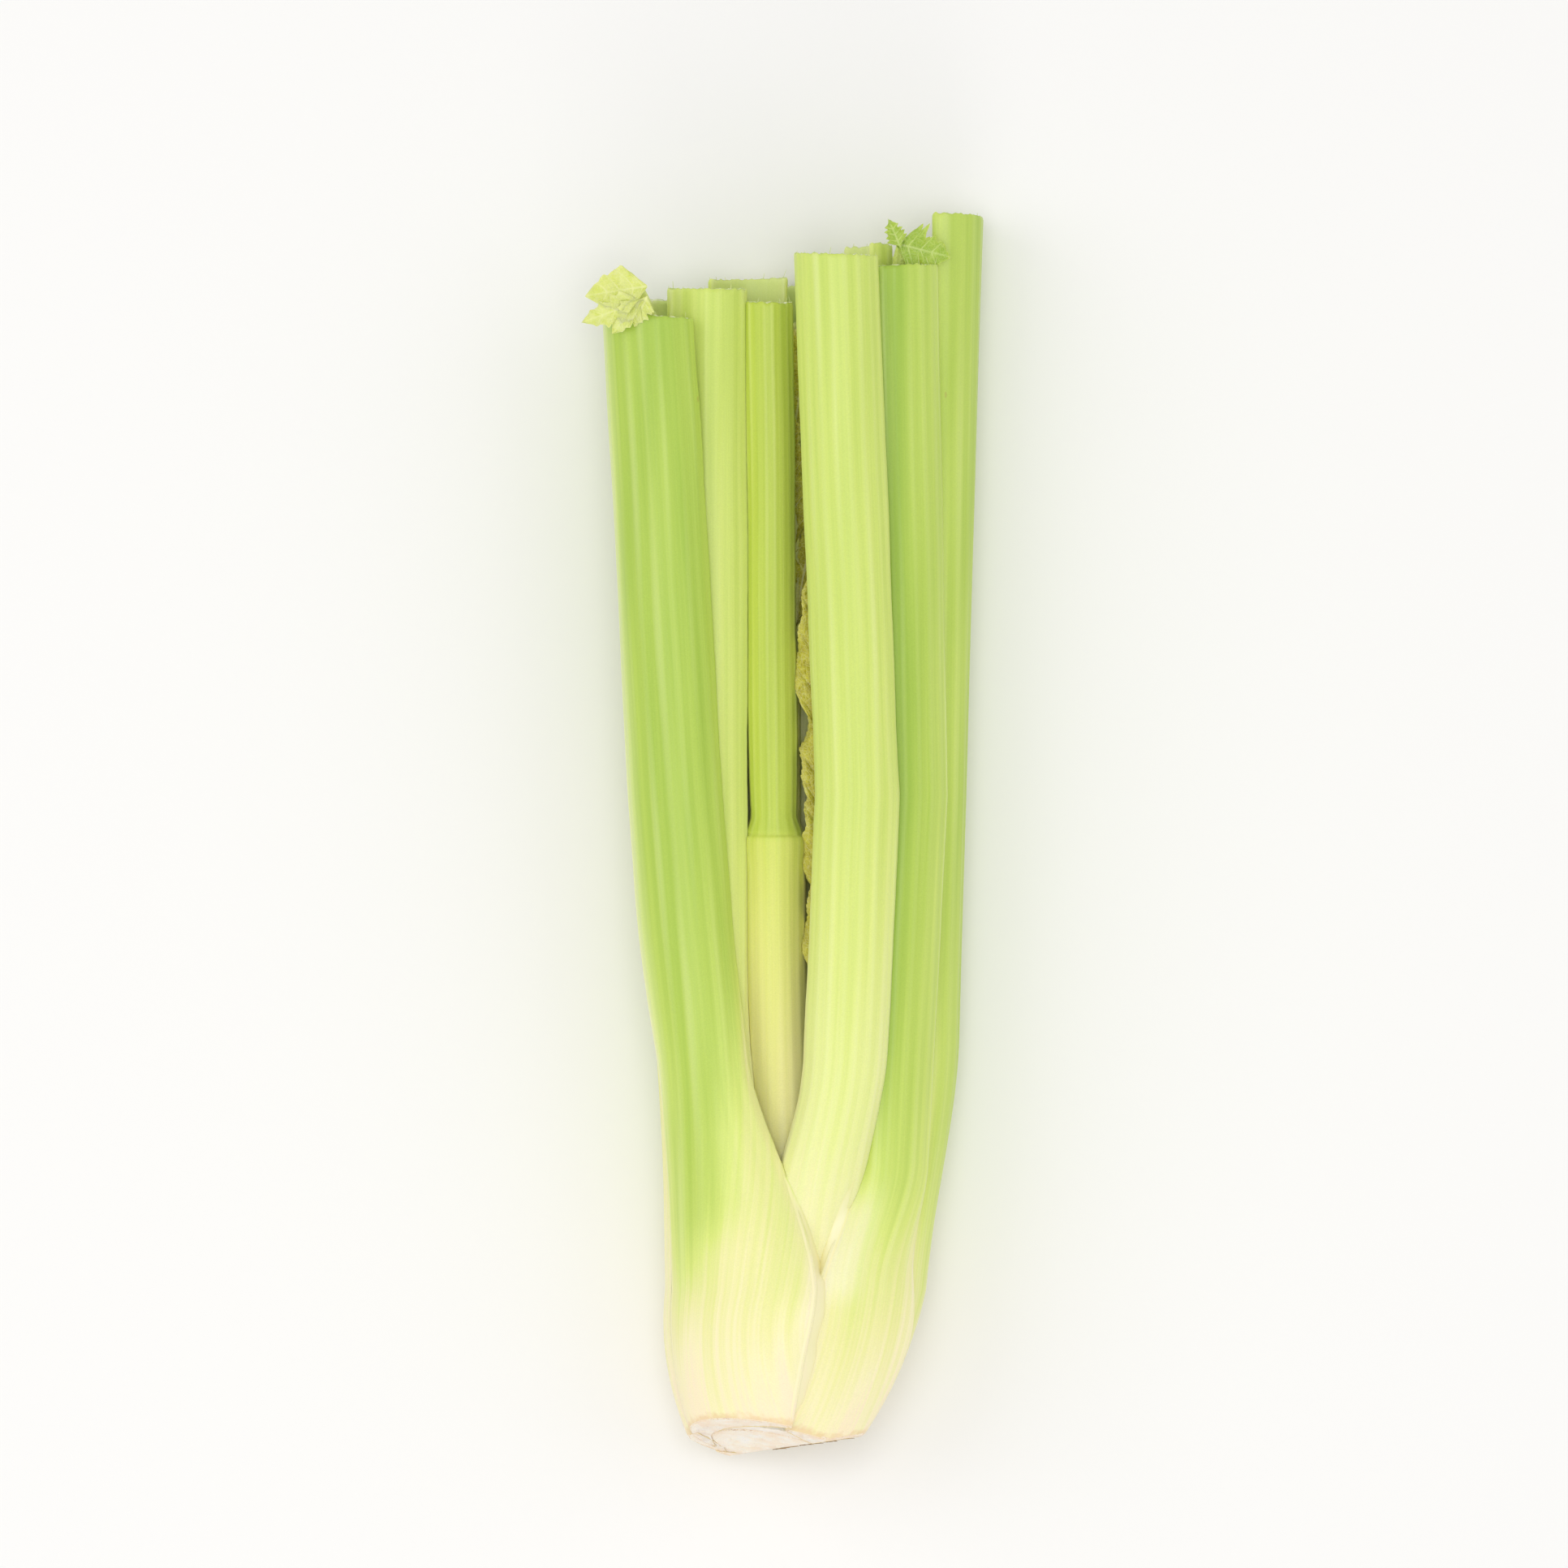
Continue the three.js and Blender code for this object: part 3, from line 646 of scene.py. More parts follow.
skinFinish = {
    "roughness": 0.42, "ior": 1.42, "subsurface": 0.16,
    "stringSpacing": 0.9, "streakSpacing": 3.6, "cellSize": 0.35, "scarSpacing": 17,
    # the whitish colour of a thin left margin, with painted reflected light in it
    "thinMarginAndSheen": "#f6f9d6", "scar": "#b39a55", "dry": "#e9c592", "relief": 0.00011,
}


def celerySkin(name, skin):
    finish = skinFinish
    material, tree, shader = newMaterial(name, finish["roughness"], finish["ior"], finish["subsurface"])
    place = addNode(tree, "Attribute", {"attribute_name": "place"}, out="Vector")
    tone, rib, inside, fromRoot, pale = [
        addNode(tree, "Attribute", {"attribute_name": key}, out="Fac")
        for key in ("tone", "rib", "inside", "fromRoot", "pale")]
    # threads run lengthwise: close together across the stalk, very long along it
    threadPlace = addNode(tree, "Mapping", {}, {
        0: place, "Scale": (1 / finish["stringSpacing"], 0.014, 0.2)})
    threads = addNode(tree, "TexNoise", {}, {"Vector": threadPlace, "Scale": 1, "Detail": 3})
    streakPlace = addNode(tree, "Mapping", {}, {
        0: place, "Scale": (1 / finish["streakSpacing"], 0.006, 0.1)})
    streaks = addNode(tree, "TexNoise", {}, {"Vector": streakPlace, "Scale": 1, "Detail": 2})
    shift = addNode(tree, "Math", {"operation": "MULTIPLY_ADD"}, {0: threads, 1: 0.22, 2: -0.11})
    shift = addNode(tree, "Math", {"operation": "MULTIPLY_ADD"}, {0: streaks, 1: 0.34, 2: shift})
    level = addNode(tree, "Math", {"operation": "ADD"}, {0: tone, 1: shift})
    level = addNode(tree, "Math", {"operation": "SUBTRACT"}, {0: level, 1: 0.17})
    colour = addNode(tree, "ValToRGB", {"stops": skin["stops"]}, {0: level})
    # ridges hold pale strings, and on the ribbed side valleys show the green between them
    ridge = addNode(tree, "MapRange", {}, {0: rib, 1: 0.25, 2: 0.8, 3: 0, 4: 0.24})
    valley = addNode(tree, "MapRange", {}, {0: rib, 1: 0.1, 2: 0, 3: 0, 4: 0.2})
    greened = addNode(tree, "MapRange", {}, {0: tone, 1: 0.25, 2: 0.8, 3: 0.04, 4: 1})
    valley = addNode(tree, "Math", {"operation": "MULTIPLY"}, {0: valley, 1: greened})
    valley = addNode(tree, "Math", {"operation": "SUBTRACT", "use_clamp": True}, {0: valley, 1: inside})
    hollow = addNode(tree, "Math", {"operation": "MULTIPLY"}, {0: inside, 1: 0.6})
    # pale mixes in the whitish left margin: its own paleness together with painted light reflected onto that
    # grazing flank
    for share, layer in ((ridge, skin["ridge"]), (valley, skin["valley"]),
                         (hollow, skin["hollow"]), (pale, finish["thinMarginAndSheen"])):
        colour = addNode(tree, "Mix", {"data_type": "RGBA"}, {
            0: share, 6: colour, 7: linearColour(layer)}, 2)
    # watery cells just under the skin give a faint mottle
    cells = addNode(tree, "TexNoise", {}, {"Vector": place, "Scale": 1 / finish["cellSize"], "Detail": 2})
    cellShade = addNode(tree, "MapRange", {}, {0: cells, 1: 0.3, 2: 0.7, 3: 0.965, 4: 1.03})
    colour = addNode(tree, "Mix", {"data_type": "RGBA", "blend_type": "MULTIPLY"}, {
        0: 1.0, 6: colour, 7: cellShade}, 2)
    # a few rubbed scars, longer than wide, and skin that dries above the root cut
    scarPlace = addNode(tree, "Mapping", {}, {
        0: place, "Scale": (1.6 / finish["scarSpacing"], 0.5 / finish["scarSpacing"], 0)})
    scars = addNode(tree, "TexVoronoi", {"feature": "F1"}, {"Vector": scarPlace, "Scale": 1})
    scar = addNode(tree, "MapRange", {}, {0: scars, 1: 0.035, 2: 0.02, 3: 0, 4: 0.4})
    ragged = addNode(tree, "TexNoise", {}, {"Vector": place, "Scale": 0.45, "Detail": 4})
    dryLevel = addNode(tree, "Math", {"operation": "MULTIPLY_ADD"}, {0: ragged, 1: -5, 2: fromRoot})
    dry = addNode(tree, "MapRange", {}, {0: dryLevel, 1: -0.2, 2: -2, 3: 0, 4: 0.6})
    for share, layer in ((scar, finish["scar"]), (dry, finish["dry"])):
        colour = addNode(tree, "Mix", {"data_type": "RGBA"}, {
            0: share, 6: colour, 7: linearColour(layer)}, 2)
    wax = addNode(tree, "MapRange", {}, {
        0: streaks, 1: 0.3, 2: 0.7, 3: finish["roughness"] - 0.06, 4: finish["roughness"] + 0.1})
    tree.links.new(wax, shader.inputs["Roughness"])
    relief = addNode(tree, "Math", {"operation": "MULTIPLY_ADD"}, {0: cells, 1: 0.12, 2: threads})
    coverShader(tree, shader, colour, relief, finish["relief"], 0.8)
    return material


# Cut celery flesh: watery pith torn by a knife, with a row of string ends under the skin.
# It looks moist and pale, with greener dots about three millimetres apart.
cutFlesh = {"pith": "#e3ebac", "flesh": "#eef3c4", "wet": "#f8f9e2", "string": "#b9cf66",
            "skin": "#c3d96c", "roughness": 0.34, "ior": 1.36, "subsurface": 0.2, "relief": 0.0004}


def fleshMaterial():
    material, tree, shader = newMaterial("celery_cut_flesh", cutFlesh["roughness"], cutFlesh["ior"],
                                         cutFlesh["subsurface"])
    place = addNode(tree, "Attribute", {"attribute_name": "place"}, out="Vector")
    edge, rib = [
        addNode(tree, "Attribute", {"attribute_name": key}, out="Fac") for key in ("edge", "rib")]
    pith = addNode(tree, "TexVoronoi", {"feature": "F1"}, {"Vector": place, "Scale": 1.5})
    colour = addNode(tree, "ValToRGB", {"stops": [
        (0, cutFlesh["pith"]), (0.5, cutFlesh["flesh"]), (1, cutFlesh["wet"])]}, {0: pith})
    ring = addNode(tree, "MapRange", {}, {0: edge, 1: 0.74, 2: 0.97, 3: 0, 4: 0.85})
    dots = addNode(tree, "MapRange", {}, {0: rib, 1: 0.3, 2: 0.6, 3: 0, 4: 0.7})
    nearSkin = addNode(tree, "MapRange", {}, {0: edge, 1: 0.3, 2: 0.62, 3: 0, 4: 1})
    dots = addNode(tree, "Math", {"operation": "MULTIPLY"}, {0: dots, 1: nearSkin})
    for share, layer in ((ring, "skin"), (dots, "string")):
        colour = addNode(tree, "Mix", {"data_type": "RGBA"}, {
            0: share, 6: colour, 7: linearColour(cutFlesh[layer])}, 2)
    torn = addNode(tree, "TexNoise", {}, {"Vector": place, "Scale": 2.2, "Detail": 4})
    coverShader(tree, shader, colour, torn, cutFlesh["relief"], 0.8)
    return material


# Root cut: dense stem flesh that a knife left open to the air for a few days.
# The faces stay whitish pink, and their rims dry to tan and rust brown.
rootFace = {"flesh": "#fff2df", "pink": "#fde8cf", "white": "#fff8ec", "tan": "#eccb9c",
            "rust": "#b9824e", "roughness": 0.55, "ior": 1.4, "subsurface": 0.15, "relief": 0.0005}


def rootMaterial():
    material, tree, shader = newMaterial("celery_root_cut", rootFace["roughness"], rootFace["ior"],
                                         rootFace["subsurface"])
    where = addNode(tree, "TexCoord", out="Object")
    edge = addNode(tree, "Attribute", {"attribute_name": "edge"}, out="Fac")
    inMillimetres = addNode(tree, "Mapping", {}, {0: where, "Scale": (1000, 1000, 1000)})
    blotch = addNode(tree, "TexNoise", {}, {"Vector": inMillimetres, "Scale": 0.22, "Detail": 5})
    colour = addNode(tree, "ValToRGB", {"stops": [
        (0.34, rootFace["pink"]), (0.52, rootFace["flesh"]), (0.7, rootFace["white"])]}, {0: blotch})
    fibre = addNode(tree, "TexNoise", {}, {"Vector": inMillimetres, "Scale": 1.7, "Detail": 3})
    rimLevel = addNode(tree, "Math", {"operation": "MULTIPLY_ADD"}, {0: fibre, 1: 0.5, 2: edge})
    rim = addNode(tree, "MapRange", {}, {0: rimLevel, 1: 1.08, 2: 1.38, 3: 0, 4: 0.7})
    rustLevel = addNode(tree, "Math", {"operation": "MULTIPLY_ADD"}, {0: blotch, 1: 0.9, 2: rimLevel})
    rust = addNode(tree, "MapRange", {}, {0: rustLevel, 1: 1.7, 2: 1.9, 3: 0, 4: 0.75})
    for share, layer in ((rim, "tan"), (rust, "rust")):
        colour = addNode(tree, "Mix", {"data_type": "RGBA"}, {
            0: share, 6: colour, 7: linearColour(rootFace[layer])}, 2)
    coverShader(tree, shader, colour, fibre, rootFace["relief"], 0.7)
    return material


skinMaterials = {name: celerySkin("celery_skin_" + name, skin) for name, skin in skins.items()}
flesh = fleshMaterial()
rootFlesh = rootMaterial()
print("materials made")

# The crown is the short stem inside the base, cut across below.
crown = {"sides": 120, "radius": 18.2,
         "profile": ([0, 2, 6, 11, 16, 21], [18.2, 18, 16.2, 12, 8.5, 7])}


def crownGrid(clearance=0):
    sides = crown["sides"]
    turn = np.arange(sides) / sides * 2 * np.pi
    lump = 1 + 0.02 * np.sin(3 * turn + 0.6)
    rows = []
    foot = cutHeight(head["axisX"], head["axisZ"])

    def ring(radius, up, rough=0.0, level=1.0):
        # level is 1 where the ring follows the cut and 0 where it lies square to the head
        x = head["axisX"] + (radius * lump + clearance) * np.cos(turn)
        z = head["axisZ"] + (radius * lump * head["baseDepth"] + clearance) * np.sin(turn)
        uneven = rough * grain(77, x, z, 2.4)
        rows.append(np.stack([x, mix(foot, cutHeight(x, z), level) + up + uneven, z], axis=-1))

    below = -20 * clearance
    for share in np.linspace(0.04, 0.96, 22):
        ring(crown["radius"] * share - clearance, 0.5 * (1 - share ** 3) + below, 0.17 * (1 - share ** 6))
    ring(crown["radius"] - 0.4, 0.02 + below)
    ring(crown["radius"], 0.4 + below)
    for up in np.linspace(1.2, 21, 16):
        ring(np.interp(up, *crown["profile"]), up + clearance, level=ease(14, 2, up))
    return np.concatenate(rows), tubeFaces(len(rows), sides)


crownPiece = meshObject("celery_crown", *crownGrid())
crownPlaces = vertexPlaces(crownPiece.data)
crownReach = np.hypot(crownPlaces[:, 0] - head["axisX"],
                      (crownPlaces[:, 2] - head["axisZ"]) / head["baseDepth"]) / crown["radius"]
writeAttribute(crownPiece.data, "edge", np.clip(crownReach, 0, 1) ** 2)
smoothPiece(crownPiece.data)
crownPiece.data.materials.append(rootFlesh)
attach(crownPiece, "root")
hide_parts("root_crown")
print("crown made")

swollenPieces = [meshObject("swollen_crown", *crownGrid(head["clearance"]))]
hidden = {"stalk_second_back", "stalk_second_right", "stalk_inner_back"}
for name, stalk in stalks.items():
    stalk["height"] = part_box(name)[1].y / millimetre + headLength / 2
    columns = grid["hiddenColumns"] if name in hidden else grid["columns"]
    step = grid["hiddenStep"] if name in hidden else grid["step"]
    piece = meshObject("celery_" + name, *stalkGrid(stalk, columns, grid["across"], step))
    cutClear(piece, swollenPieces)
    swollen = stalkGrid(stalk, grid["hiddenColumns"], grid["across"], grid["hiddenStep"], head["clearance"])
    swollenPieces.append(meshObject("swollen_" + name, *swollen))
    describeStalk(piece, stalk)
    smoothPiece(piece.data)
    kind = ["outer", "second", "heart"][stalk["whorl"]]
    for material in (skinMaterials[kind], flesh, rootFlesh):
        piece.data.materials.append(material)
    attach(piece, "root")
    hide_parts(name)
    print(name, "made:", len(piece.data.polygons), "faces")

# Between the crown and the sheaths the stem's flesh fills the root cut, a hair's breadth back.
filling = {"radius": 22.6, "recess": 0.3, "depth": 7, "sides": 160}


def fillingGrid():
    turn = np.arange(filling["sides"]) / filling["sides"] * 2 * np.pi
    rows = []
    shares = np.concatenate([np.linspace(0.5, 1, 16), np.full(6, 1)])
    ups = np.concatenate([np.zeros(16), np.linspace(0.5, filling["depth"], 6)])
    for share, up in zip(shares, ups):
        x = head["axisX"] + filling["radius"] * share * np.cos(turn)
        z = head["axisZ"] + filling["radius"] * share * head["baseDepth"] * np.sin(turn)
        height = cutHeight(x, z) + filling["recess"] + up + 0.08 * grain(78, x, z, 2)
        rows.append(np.stack([x, height, z], axis=-1))
    return np.concatenate(rows), tubeFaces(len(rows), filling["sides"])


fillingPiece = meshObject("celery_root_filling", *fillingGrid())
cutClear(fillingPiece, swollenPieces, False)
writeAttribute(fillingPiece.data, "edge", np.full(len(fillingPiece.data.vertices), 0.7))
smoothPiece(fillingPiece.data)
fillingPiece.data.materials.append(rootFlesh)
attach(fillingPiece, "root")
print("root filling made:", len(fillingPiece.data.polygons), "faces")

# Celery leaf: a thin blade, softly waxed above, puffed up between veins that lie sunken in it.
# The eye sees pale ribs, a fine net of veins and light that comes through the blade.
leafLooks = {
    "tuft": {"blade": "#dfe68c", "deep": "#cfdb62", "tip": "#e4e994", "vein": "#e9eda2", "stalk": "#dfe78f"},
    "right": {"blade": "#abc650", "deep": "#95b53e", "tip": "#c3d75e", "vein": "#cfe08a", "stalk": "#d7e382"},
    "heart": {"blade": "#d6ce48", "deep": "#b0a42c", "tip": "#dcd468", "vein": "#f6f2b4", "stalk": "#e6e68e"},
}
leafFinish = {"roughness": 0.4, "ior": 1.42, "subsurface": 0.3, "lightReach": 0.0016, "netSize": 1.1,
              "relief": 0.00016}


def leafMaterial(name, look):
    finish = leafFinish
    material, tree, shader = newMaterial(name, finish["roughness"], finish["ior"], finish["subsurface"])
    shader.inputs["Subsurface Scale"].default_value = finish["lightReach"]
    place = addNode(tree, "Attribute", {"attribute_name": "place"}, out="Vector")
    vein, margin, tone = [
        addNode(tree, "Attribute", {"attribute_name": key}, out="Fac") for key in ("rib", "edge", "tone")]
    patch = addNode(tree, "TexNoise", {}, {"Vector": place, "Scale": 0.35, "Detail": 4})
    deep = addNode(tree, "MapRange", {}, {0: patch, 1: 0.4, 2: 0.66, 3: 0, 4: 0.8})
    pale = addNode(tree, "MapRange", {}, {0: margin, 1: 0.75, 2: 1, 3: 0, 4: 0.6})
    # the smallest veins make a net with meshes about a millimetre wide
    net = addNode(tree, "TexVoronoi", {"feature": "DISTANCE_TO_EDGE"}, {
        "Vector": place, "Scale": 1 / finish["netSize"]})
    netLine = addNode(tree, "MapRange", {}, {0: net, 1: 0.09, 2: 0, 3: 0, 4: 0.35})
    ribLine = addNode(tree, "MapRange", {}, {0: vein, 1: 0.25, 2: 0.8, 3: 0, 4: 0.85})
    colour = linearColour(look["blade"])
    for share, layer in ((deep, "deep"), (pale, "tip"), (netLine, "vein"), (ribLine, "vein"),
                         (tone, "stalk")):
        colour = addNode(tree, "Mix", {"data_type": "RGBA"}, {
            0: share, 6: colour, 7: linearColour(look[layer])}, 2)
    relief = addNode(tree, "MapRange", {}, {0: net, 1: 0, 2: 0.3, 3: 0, 4: 1})
    coverShader(tree, shader, colour, relief, finish["relief"], 0.7)
    return material


# Outline of one leaflet from its base to its tip: lobes, cut again into teeth. peaks are the
# lobes' points, where the side veins end.
leafOutline = {
    "along": [0, 0.06, 0.12, 0.2, 0.26, 0.36, 0.43, 0.58, 0.65, 0.78, 0.86, 0.94, 1],
    "half": [0.05, 0.24, 0.62, 1, 0.74, 0.9, 0.5, 0.7, 0.44, 0.5, 0.27, 0.14, 0.01],
    "peaks": [0.2, 0.36, 0.58, 0.78],
    "rows": 110, "columns": 37, "thickness": 0.36, "toothSpacing": 2.1, "sweep": 0.5, "puff": 0.34,
}


def turned(yaw, pitch, roll):
    (sinZ, cosZ), (sinX, cosX), (sinY, cosY) = [
        (math.sin(math.radians(angle)), math.cos(math.radians(angle))) for angle in (yaw, pitch, roll)]
    aboutZ = np.array([[cosZ, sinZ, 0], [-sinZ, cosZ, 0], [0, 0, 1]])
    aboutX = np.array([[1, 0, 0], [0, cosX, -sinX], [0, sinX, cosX]])
    aboutY = np.array([[cosY, 0, sinY], [0, 1, 0], [-sinY, 0, cosY]])
    return aboutZ @ aboutX @ aboutY


def leafletGrid(leaf):
    # a closed thin blade: points, faces, and per point its vein, margin and place on the leaf
    outline = leafOutline
    length, width, seed = leaf["length"], leaf["width"], leaf["seed"]
    t = np.linspace(0, 1, outline["rows"])[:, None]
    u = np.linspace(-1, 1, outline["columns"])[None, :]
    spread = np.abs(u)
    lobed = np.interp(t, outline["along"], outline["half"])
    whole = np.interp(t, [0, 0.1, 0.25, 0.5, 0.8, 1], [0.1, 0.7, 1, 0.85, 0.45, 0.02])
    half = mix(whole, lobed, leaf.get("lobes", 1))
    half = half * (1 + 0.1 * waver(seed, t * 3) * t * (1 - t) * 4)
    teeth = length / outline["toothSpacing"]
    saw = (t * teeth + 0.3 * waver(seed + 1, t * 2)) % 1
    cut = 1 - leaf.get("teeth", 0.16) * (1 - saw) ** 1.6 * spread ** 3 * ease(0.04, 0.16, t)
    across = u * half * cut * width / 2
    ahead = outline["sweep"] * np.abs(across) * (1 - t) * spread
    vein = np.exp(-(across / 0.42) ** 2) * (1 - 0.5 * t)
    hollow = np.exp(-(across / 1.2) ** 2)
    for peak in outline["peaks"]:
        away = t - (peak - 0.14 * (1 - spread))
        vein = np.maximum(vein, np.exp(-(away * length / 0.3) ** 2) * (0.85 - 0.35 * spread))
        hollow = np.maximum(hollow, np.exp(-(away * length / 0.95) ** 2) * (1 - 0.4 * spread))
    rough = 0.5 + 0.5 * waver(seed + 2, t * 9 + u * 2.2) * waver(seed + 3, u * 3.1 - t * 4)
    puff = outline["puff"] * leaf.get("puff", 1) * (1 - hollow)
    puff = puff * (0.55 + 0.6 * rough) * ease(1.02, 0.72, spread)
    ruffle = leaf.get("ruffle", 0.1) * width * spread ** 1.7
    wave = ruffle * (np.sin(t * 9 + np.sign(u) * 1.3 + seed) + 0.4 * np.sin(t * 23 + np.sign(u) + seed))
    curl = leaf.get("curl", 0.6)
    bend = curl * (t + ahead / length)
    reach = np.sin(bend) / curl
    drop = (1 - np.cos(bend)) / curl
    fold = np.abs(across) * leaf.get("fold", 0.35)
    up = fold + wave + puff - drop * length
    thick = outline["thickness"] * (1 - 0.45 * spread ** 2) + 0.5 * np.exp(-(across / 0.7) ** 2) * (1 - t)
    turn = turned(leaf.get("yaw", 0), leaf.get("pitch", 0), leaf.get("roll", 0))
    sheets = []
    for height in (up + thick * 0.3, up - thick * 0.7):
        flat = np.stack([across, reach * length, height], axis=-1).reshape(-1, 3)
        sheets.append(flat @ turn.T + np.array(leaf["at"]))
    place = np.stack([across, t * length + 0 * across, 0 * across + seed * 7], axis=-1).reshape(-1, 3)
    margin = np.maximum(spread, ease(0.8, 1, t))
    found = {"place": np.tile(place, (2, 1)), "rib": np.tile(vein.ravel(), 2),
             "edge": np.tile(margin.ravel(), 2), "tone": np.zeros(2 * len(place))}
    return np.concatenate(sheets), sheetFaces(outline["rows"], outline["columns"]).tolist(), found


def sprigStalkGrid(path, sides=28, perStep=9):
    # a little stalk with a channel above and fine ribs below, rounded off at both ends
    path = np.array(path, float)
    knots = np.arange(len(path))
    fine = np.linspace(0, len(path) - 1, (len(path) - 1) * perStep + 1)
    smooth = np.stack([np.interp(fine, knots, path[:, k]) for k in range(4)], axis=-1)
    for _ in range(12):
        smooth[1:-1] = 0.25 * smooth[:-2] + 0.5 * smooth[1:-1] + 0.25 * smooth[2:]
    tip = np.clip(np.minimum(fine, fine[-1] - fine) / 0.35, 0, 1)
    a = np.arange(sides) / sides * 2 * np.pi
    channel = 1 - 0.32 * np.exp(-(((a - np.pi / 2 + np.pi) % (2 * np.pi) - np.pi) / 0.5) ** 2)
    shape = channel * (1 + 0.05 * np.cos(9 * a))
    radius = smooth[:, 3:] * np.sqrt(1 - (1 - tip[:, None]) ** 2 * 0.96)
    x = smooth[:, 0:1] + radius * shape * np.cos(a)
    z = smooth[:, 2:3] + radius * 0.85 * shape * np.sin(a)
    s = smooth[:, 1:2] + 0 * x
    found = {
        "place": np.stack([np.tile(a * 1.5, len(s)), s.ravel(), 0 * s.ravel()], axis=-1),
        "rib": np.zeros(s.size), "edge": np.zeros(s.size), "tone": np.ones(s.size),
    }
    return np.stack([x, s, z], axis=-1).reshape(-1, 3), tubeFaces(len(s), sides), found


# path gives x, height, z and radius of the little stalk; usual holds what its leaflets share
sprigs = {
    "heart_sprig_front": {
        "look": "heart", "slot": "heart",
        "path": [(4, 44, 33, 1.6), (7, 64, 32, 2), (9.5, 100, 31, 2.1), (10.5, 140, 32, 2),
                 (12.5, 172, 34, 1.5)],
        "usual": {"pitch": 0.5, "length": 50, "fold": 0.08, "curl": 0.1, "puff": 2.4, "lobes": 0.3,
                  "teeth": 0.06},
        "leaflets": [
            {"at": (12.8, 138, 41.4), "yaw": 1, "roll": -6, "width": 15.5, "seed": 41},
            {"at": (12.6, 164, 41.6), "yaw": 0, "roll": -9, "width": 15.5, "seed": 42},
            {"at": (12, 190, 41.4), "yaw": 1, "roll": -7, "width": 15, "seed": 52},
            {"at": (11, 216, 41.4), "yaw": -2, "roll": -8, "length": 52, "width": 15, "seed": 53},
        ],
    },
    "heart_sprig_back": {
        "look": "heart", "slot": "heart",
        "path": [(2.5, 46, 29, 1.6), (3, 70, 28, 2), (3.5, 130, 27.8, 2.1), (3.5, 220, 27.8, 2),
                 (3.5, 290, 28, 1.8), (3.5, 312, 28, 1.4)],
        "usual": {"puff": 2, "pitch": 3},
        "leaflets": [
            {"at": (3.5, 246, 28), "yaw": 10, "pitch": 2, "roll": -14, "length": 40, "width": 15,
             "curl": 0.1, "seed": 43},
            {"at": (3.5, 272, 28), "yaw": -4, "roll": 10, "length": 44, "width": 16,
             "curl": -0.1, "seed": 44},
            {"at": (3.5, 304, 28), "yaw": 8, "roll": -10, "length": 48, "width": 20,
             "curl": 0.3, "seed": 45},
        ],
    },
    "leaf_left": {
        "look": "tuft", "slot": "leaf",
        "path": [(-37.5, 262, 41, 1.6), (-37.5, 300, 41, 2.2), (-38, 330, 42, 2.2), (-40, 341, 46, 2.1),
                 (-42, 346, 52, 1.9), (-43, 348, 55, 1.6)],
        "usual": {"teeth": 0.08, "lobes": 0.75},
        "leaflets": [
            {"at": (-40, 348, 56), "yaw": -98, "pitch": 6, "roll": 4, "length": 19, "width": 15, "fold": 0.25,
             "curl": 0.5, "teeth": 0.03, "lobes": 0.4, "puff": 0.35, "ruffle": 0.05, "seed": 46},
            {"at": (-41, 344, 57), "yaw": -111, "pitch": 4, "roll": -4, "length": 20.5, "width": 11,
             "fold": 0.2, "curl": 0.6, "ruffle": 0.1, "puff": 0.7, "seed": 47},
            {"at": (-42, 344, 57), "yaw": -140, "pitch": 2, "roll": 0, "length": 13.5, "width": 9,
             "fold": 0.15, "curl": 0.4, "puff": 0.6, "seed": 48},
            {"at": (-40, 345, 57), "yaw": -157, "pitch": 0, "roll": 4, "length": 10, "width": 8,
             "fold": 0.15, "curl": 0.3, "puff": 0.6, "seed": 49},
        ],
    },
    "leaf_right": {
        "look": "right", "slot": "leaf",
        "path": [(33, 280, 35, 1.6), (33, 330, 35, 2.2), (34, 350, 36, 2.1), (35, 357, 38, 1.9),
                 (36, 362, 40, 1.6)],
        "usual": {"curl": 0.6},
        "leaflets": [
            {"at": (34, 361, 40), "yaw": 104, "pitch": 12, "roll": 0, "length": 17, "width": 17, "fold": 0.1,
             "ruffle": 0.05, "puff": 0.8, "seed": 50},
            {"at": (35, 360, 41), "yaw": -20, "pitch": 18, "roll": 10, "length": 9, "width": 8, "fold": 0.3,
             "seed": 51},
        ],
    },
}


def joinPieces(name, pieces):
    # one object out of several closed bodies, with their attributes kept
    work = bmesh.new()
    for piece in pieces:
        work.from_mesh(piece.data)
    mesh = bpy.data.meshes.new(name)
    work.to_mesh(mesh)
    work.free()
    for piece in pieces:
        bpy.data.objects.remove(piece)
    whole = bpy.data.objects.new(name, mesh)
    bpy.context.scene.collection.objects.link(whole)
    return whole


leafMaterials = {name: leafMaterial("celery_leaf_" + name, look) for name, look in leafLooks.items()}
for name, sprig in sprigs.items():
    parts = []
    grids = [sprigStalkGrid(sprig["path"])]
    grids += [leafletGrid({**sprig["usual"], **leaf}) for leaf in sprig["leaflets"]]
    for k, (points, faces, found) in enumerate(grids):
        part = meshObject("%s_%d" % (name, k), points, faces)
        for key, values in found.items():
            writeAttribute(part.data, key, values)
        cutClear(part, swollenPieces)
        parts.append(part)
    piece = joinPieces("celery_" + name, parts)
    smoothPiece(piece.data, 60)
    piece.data.materials.append(leafMaterials[sprig["look"]])
    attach(piece, "root")
    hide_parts(name)
    print(name, "made:", len(piece.data.polygons), "faces")

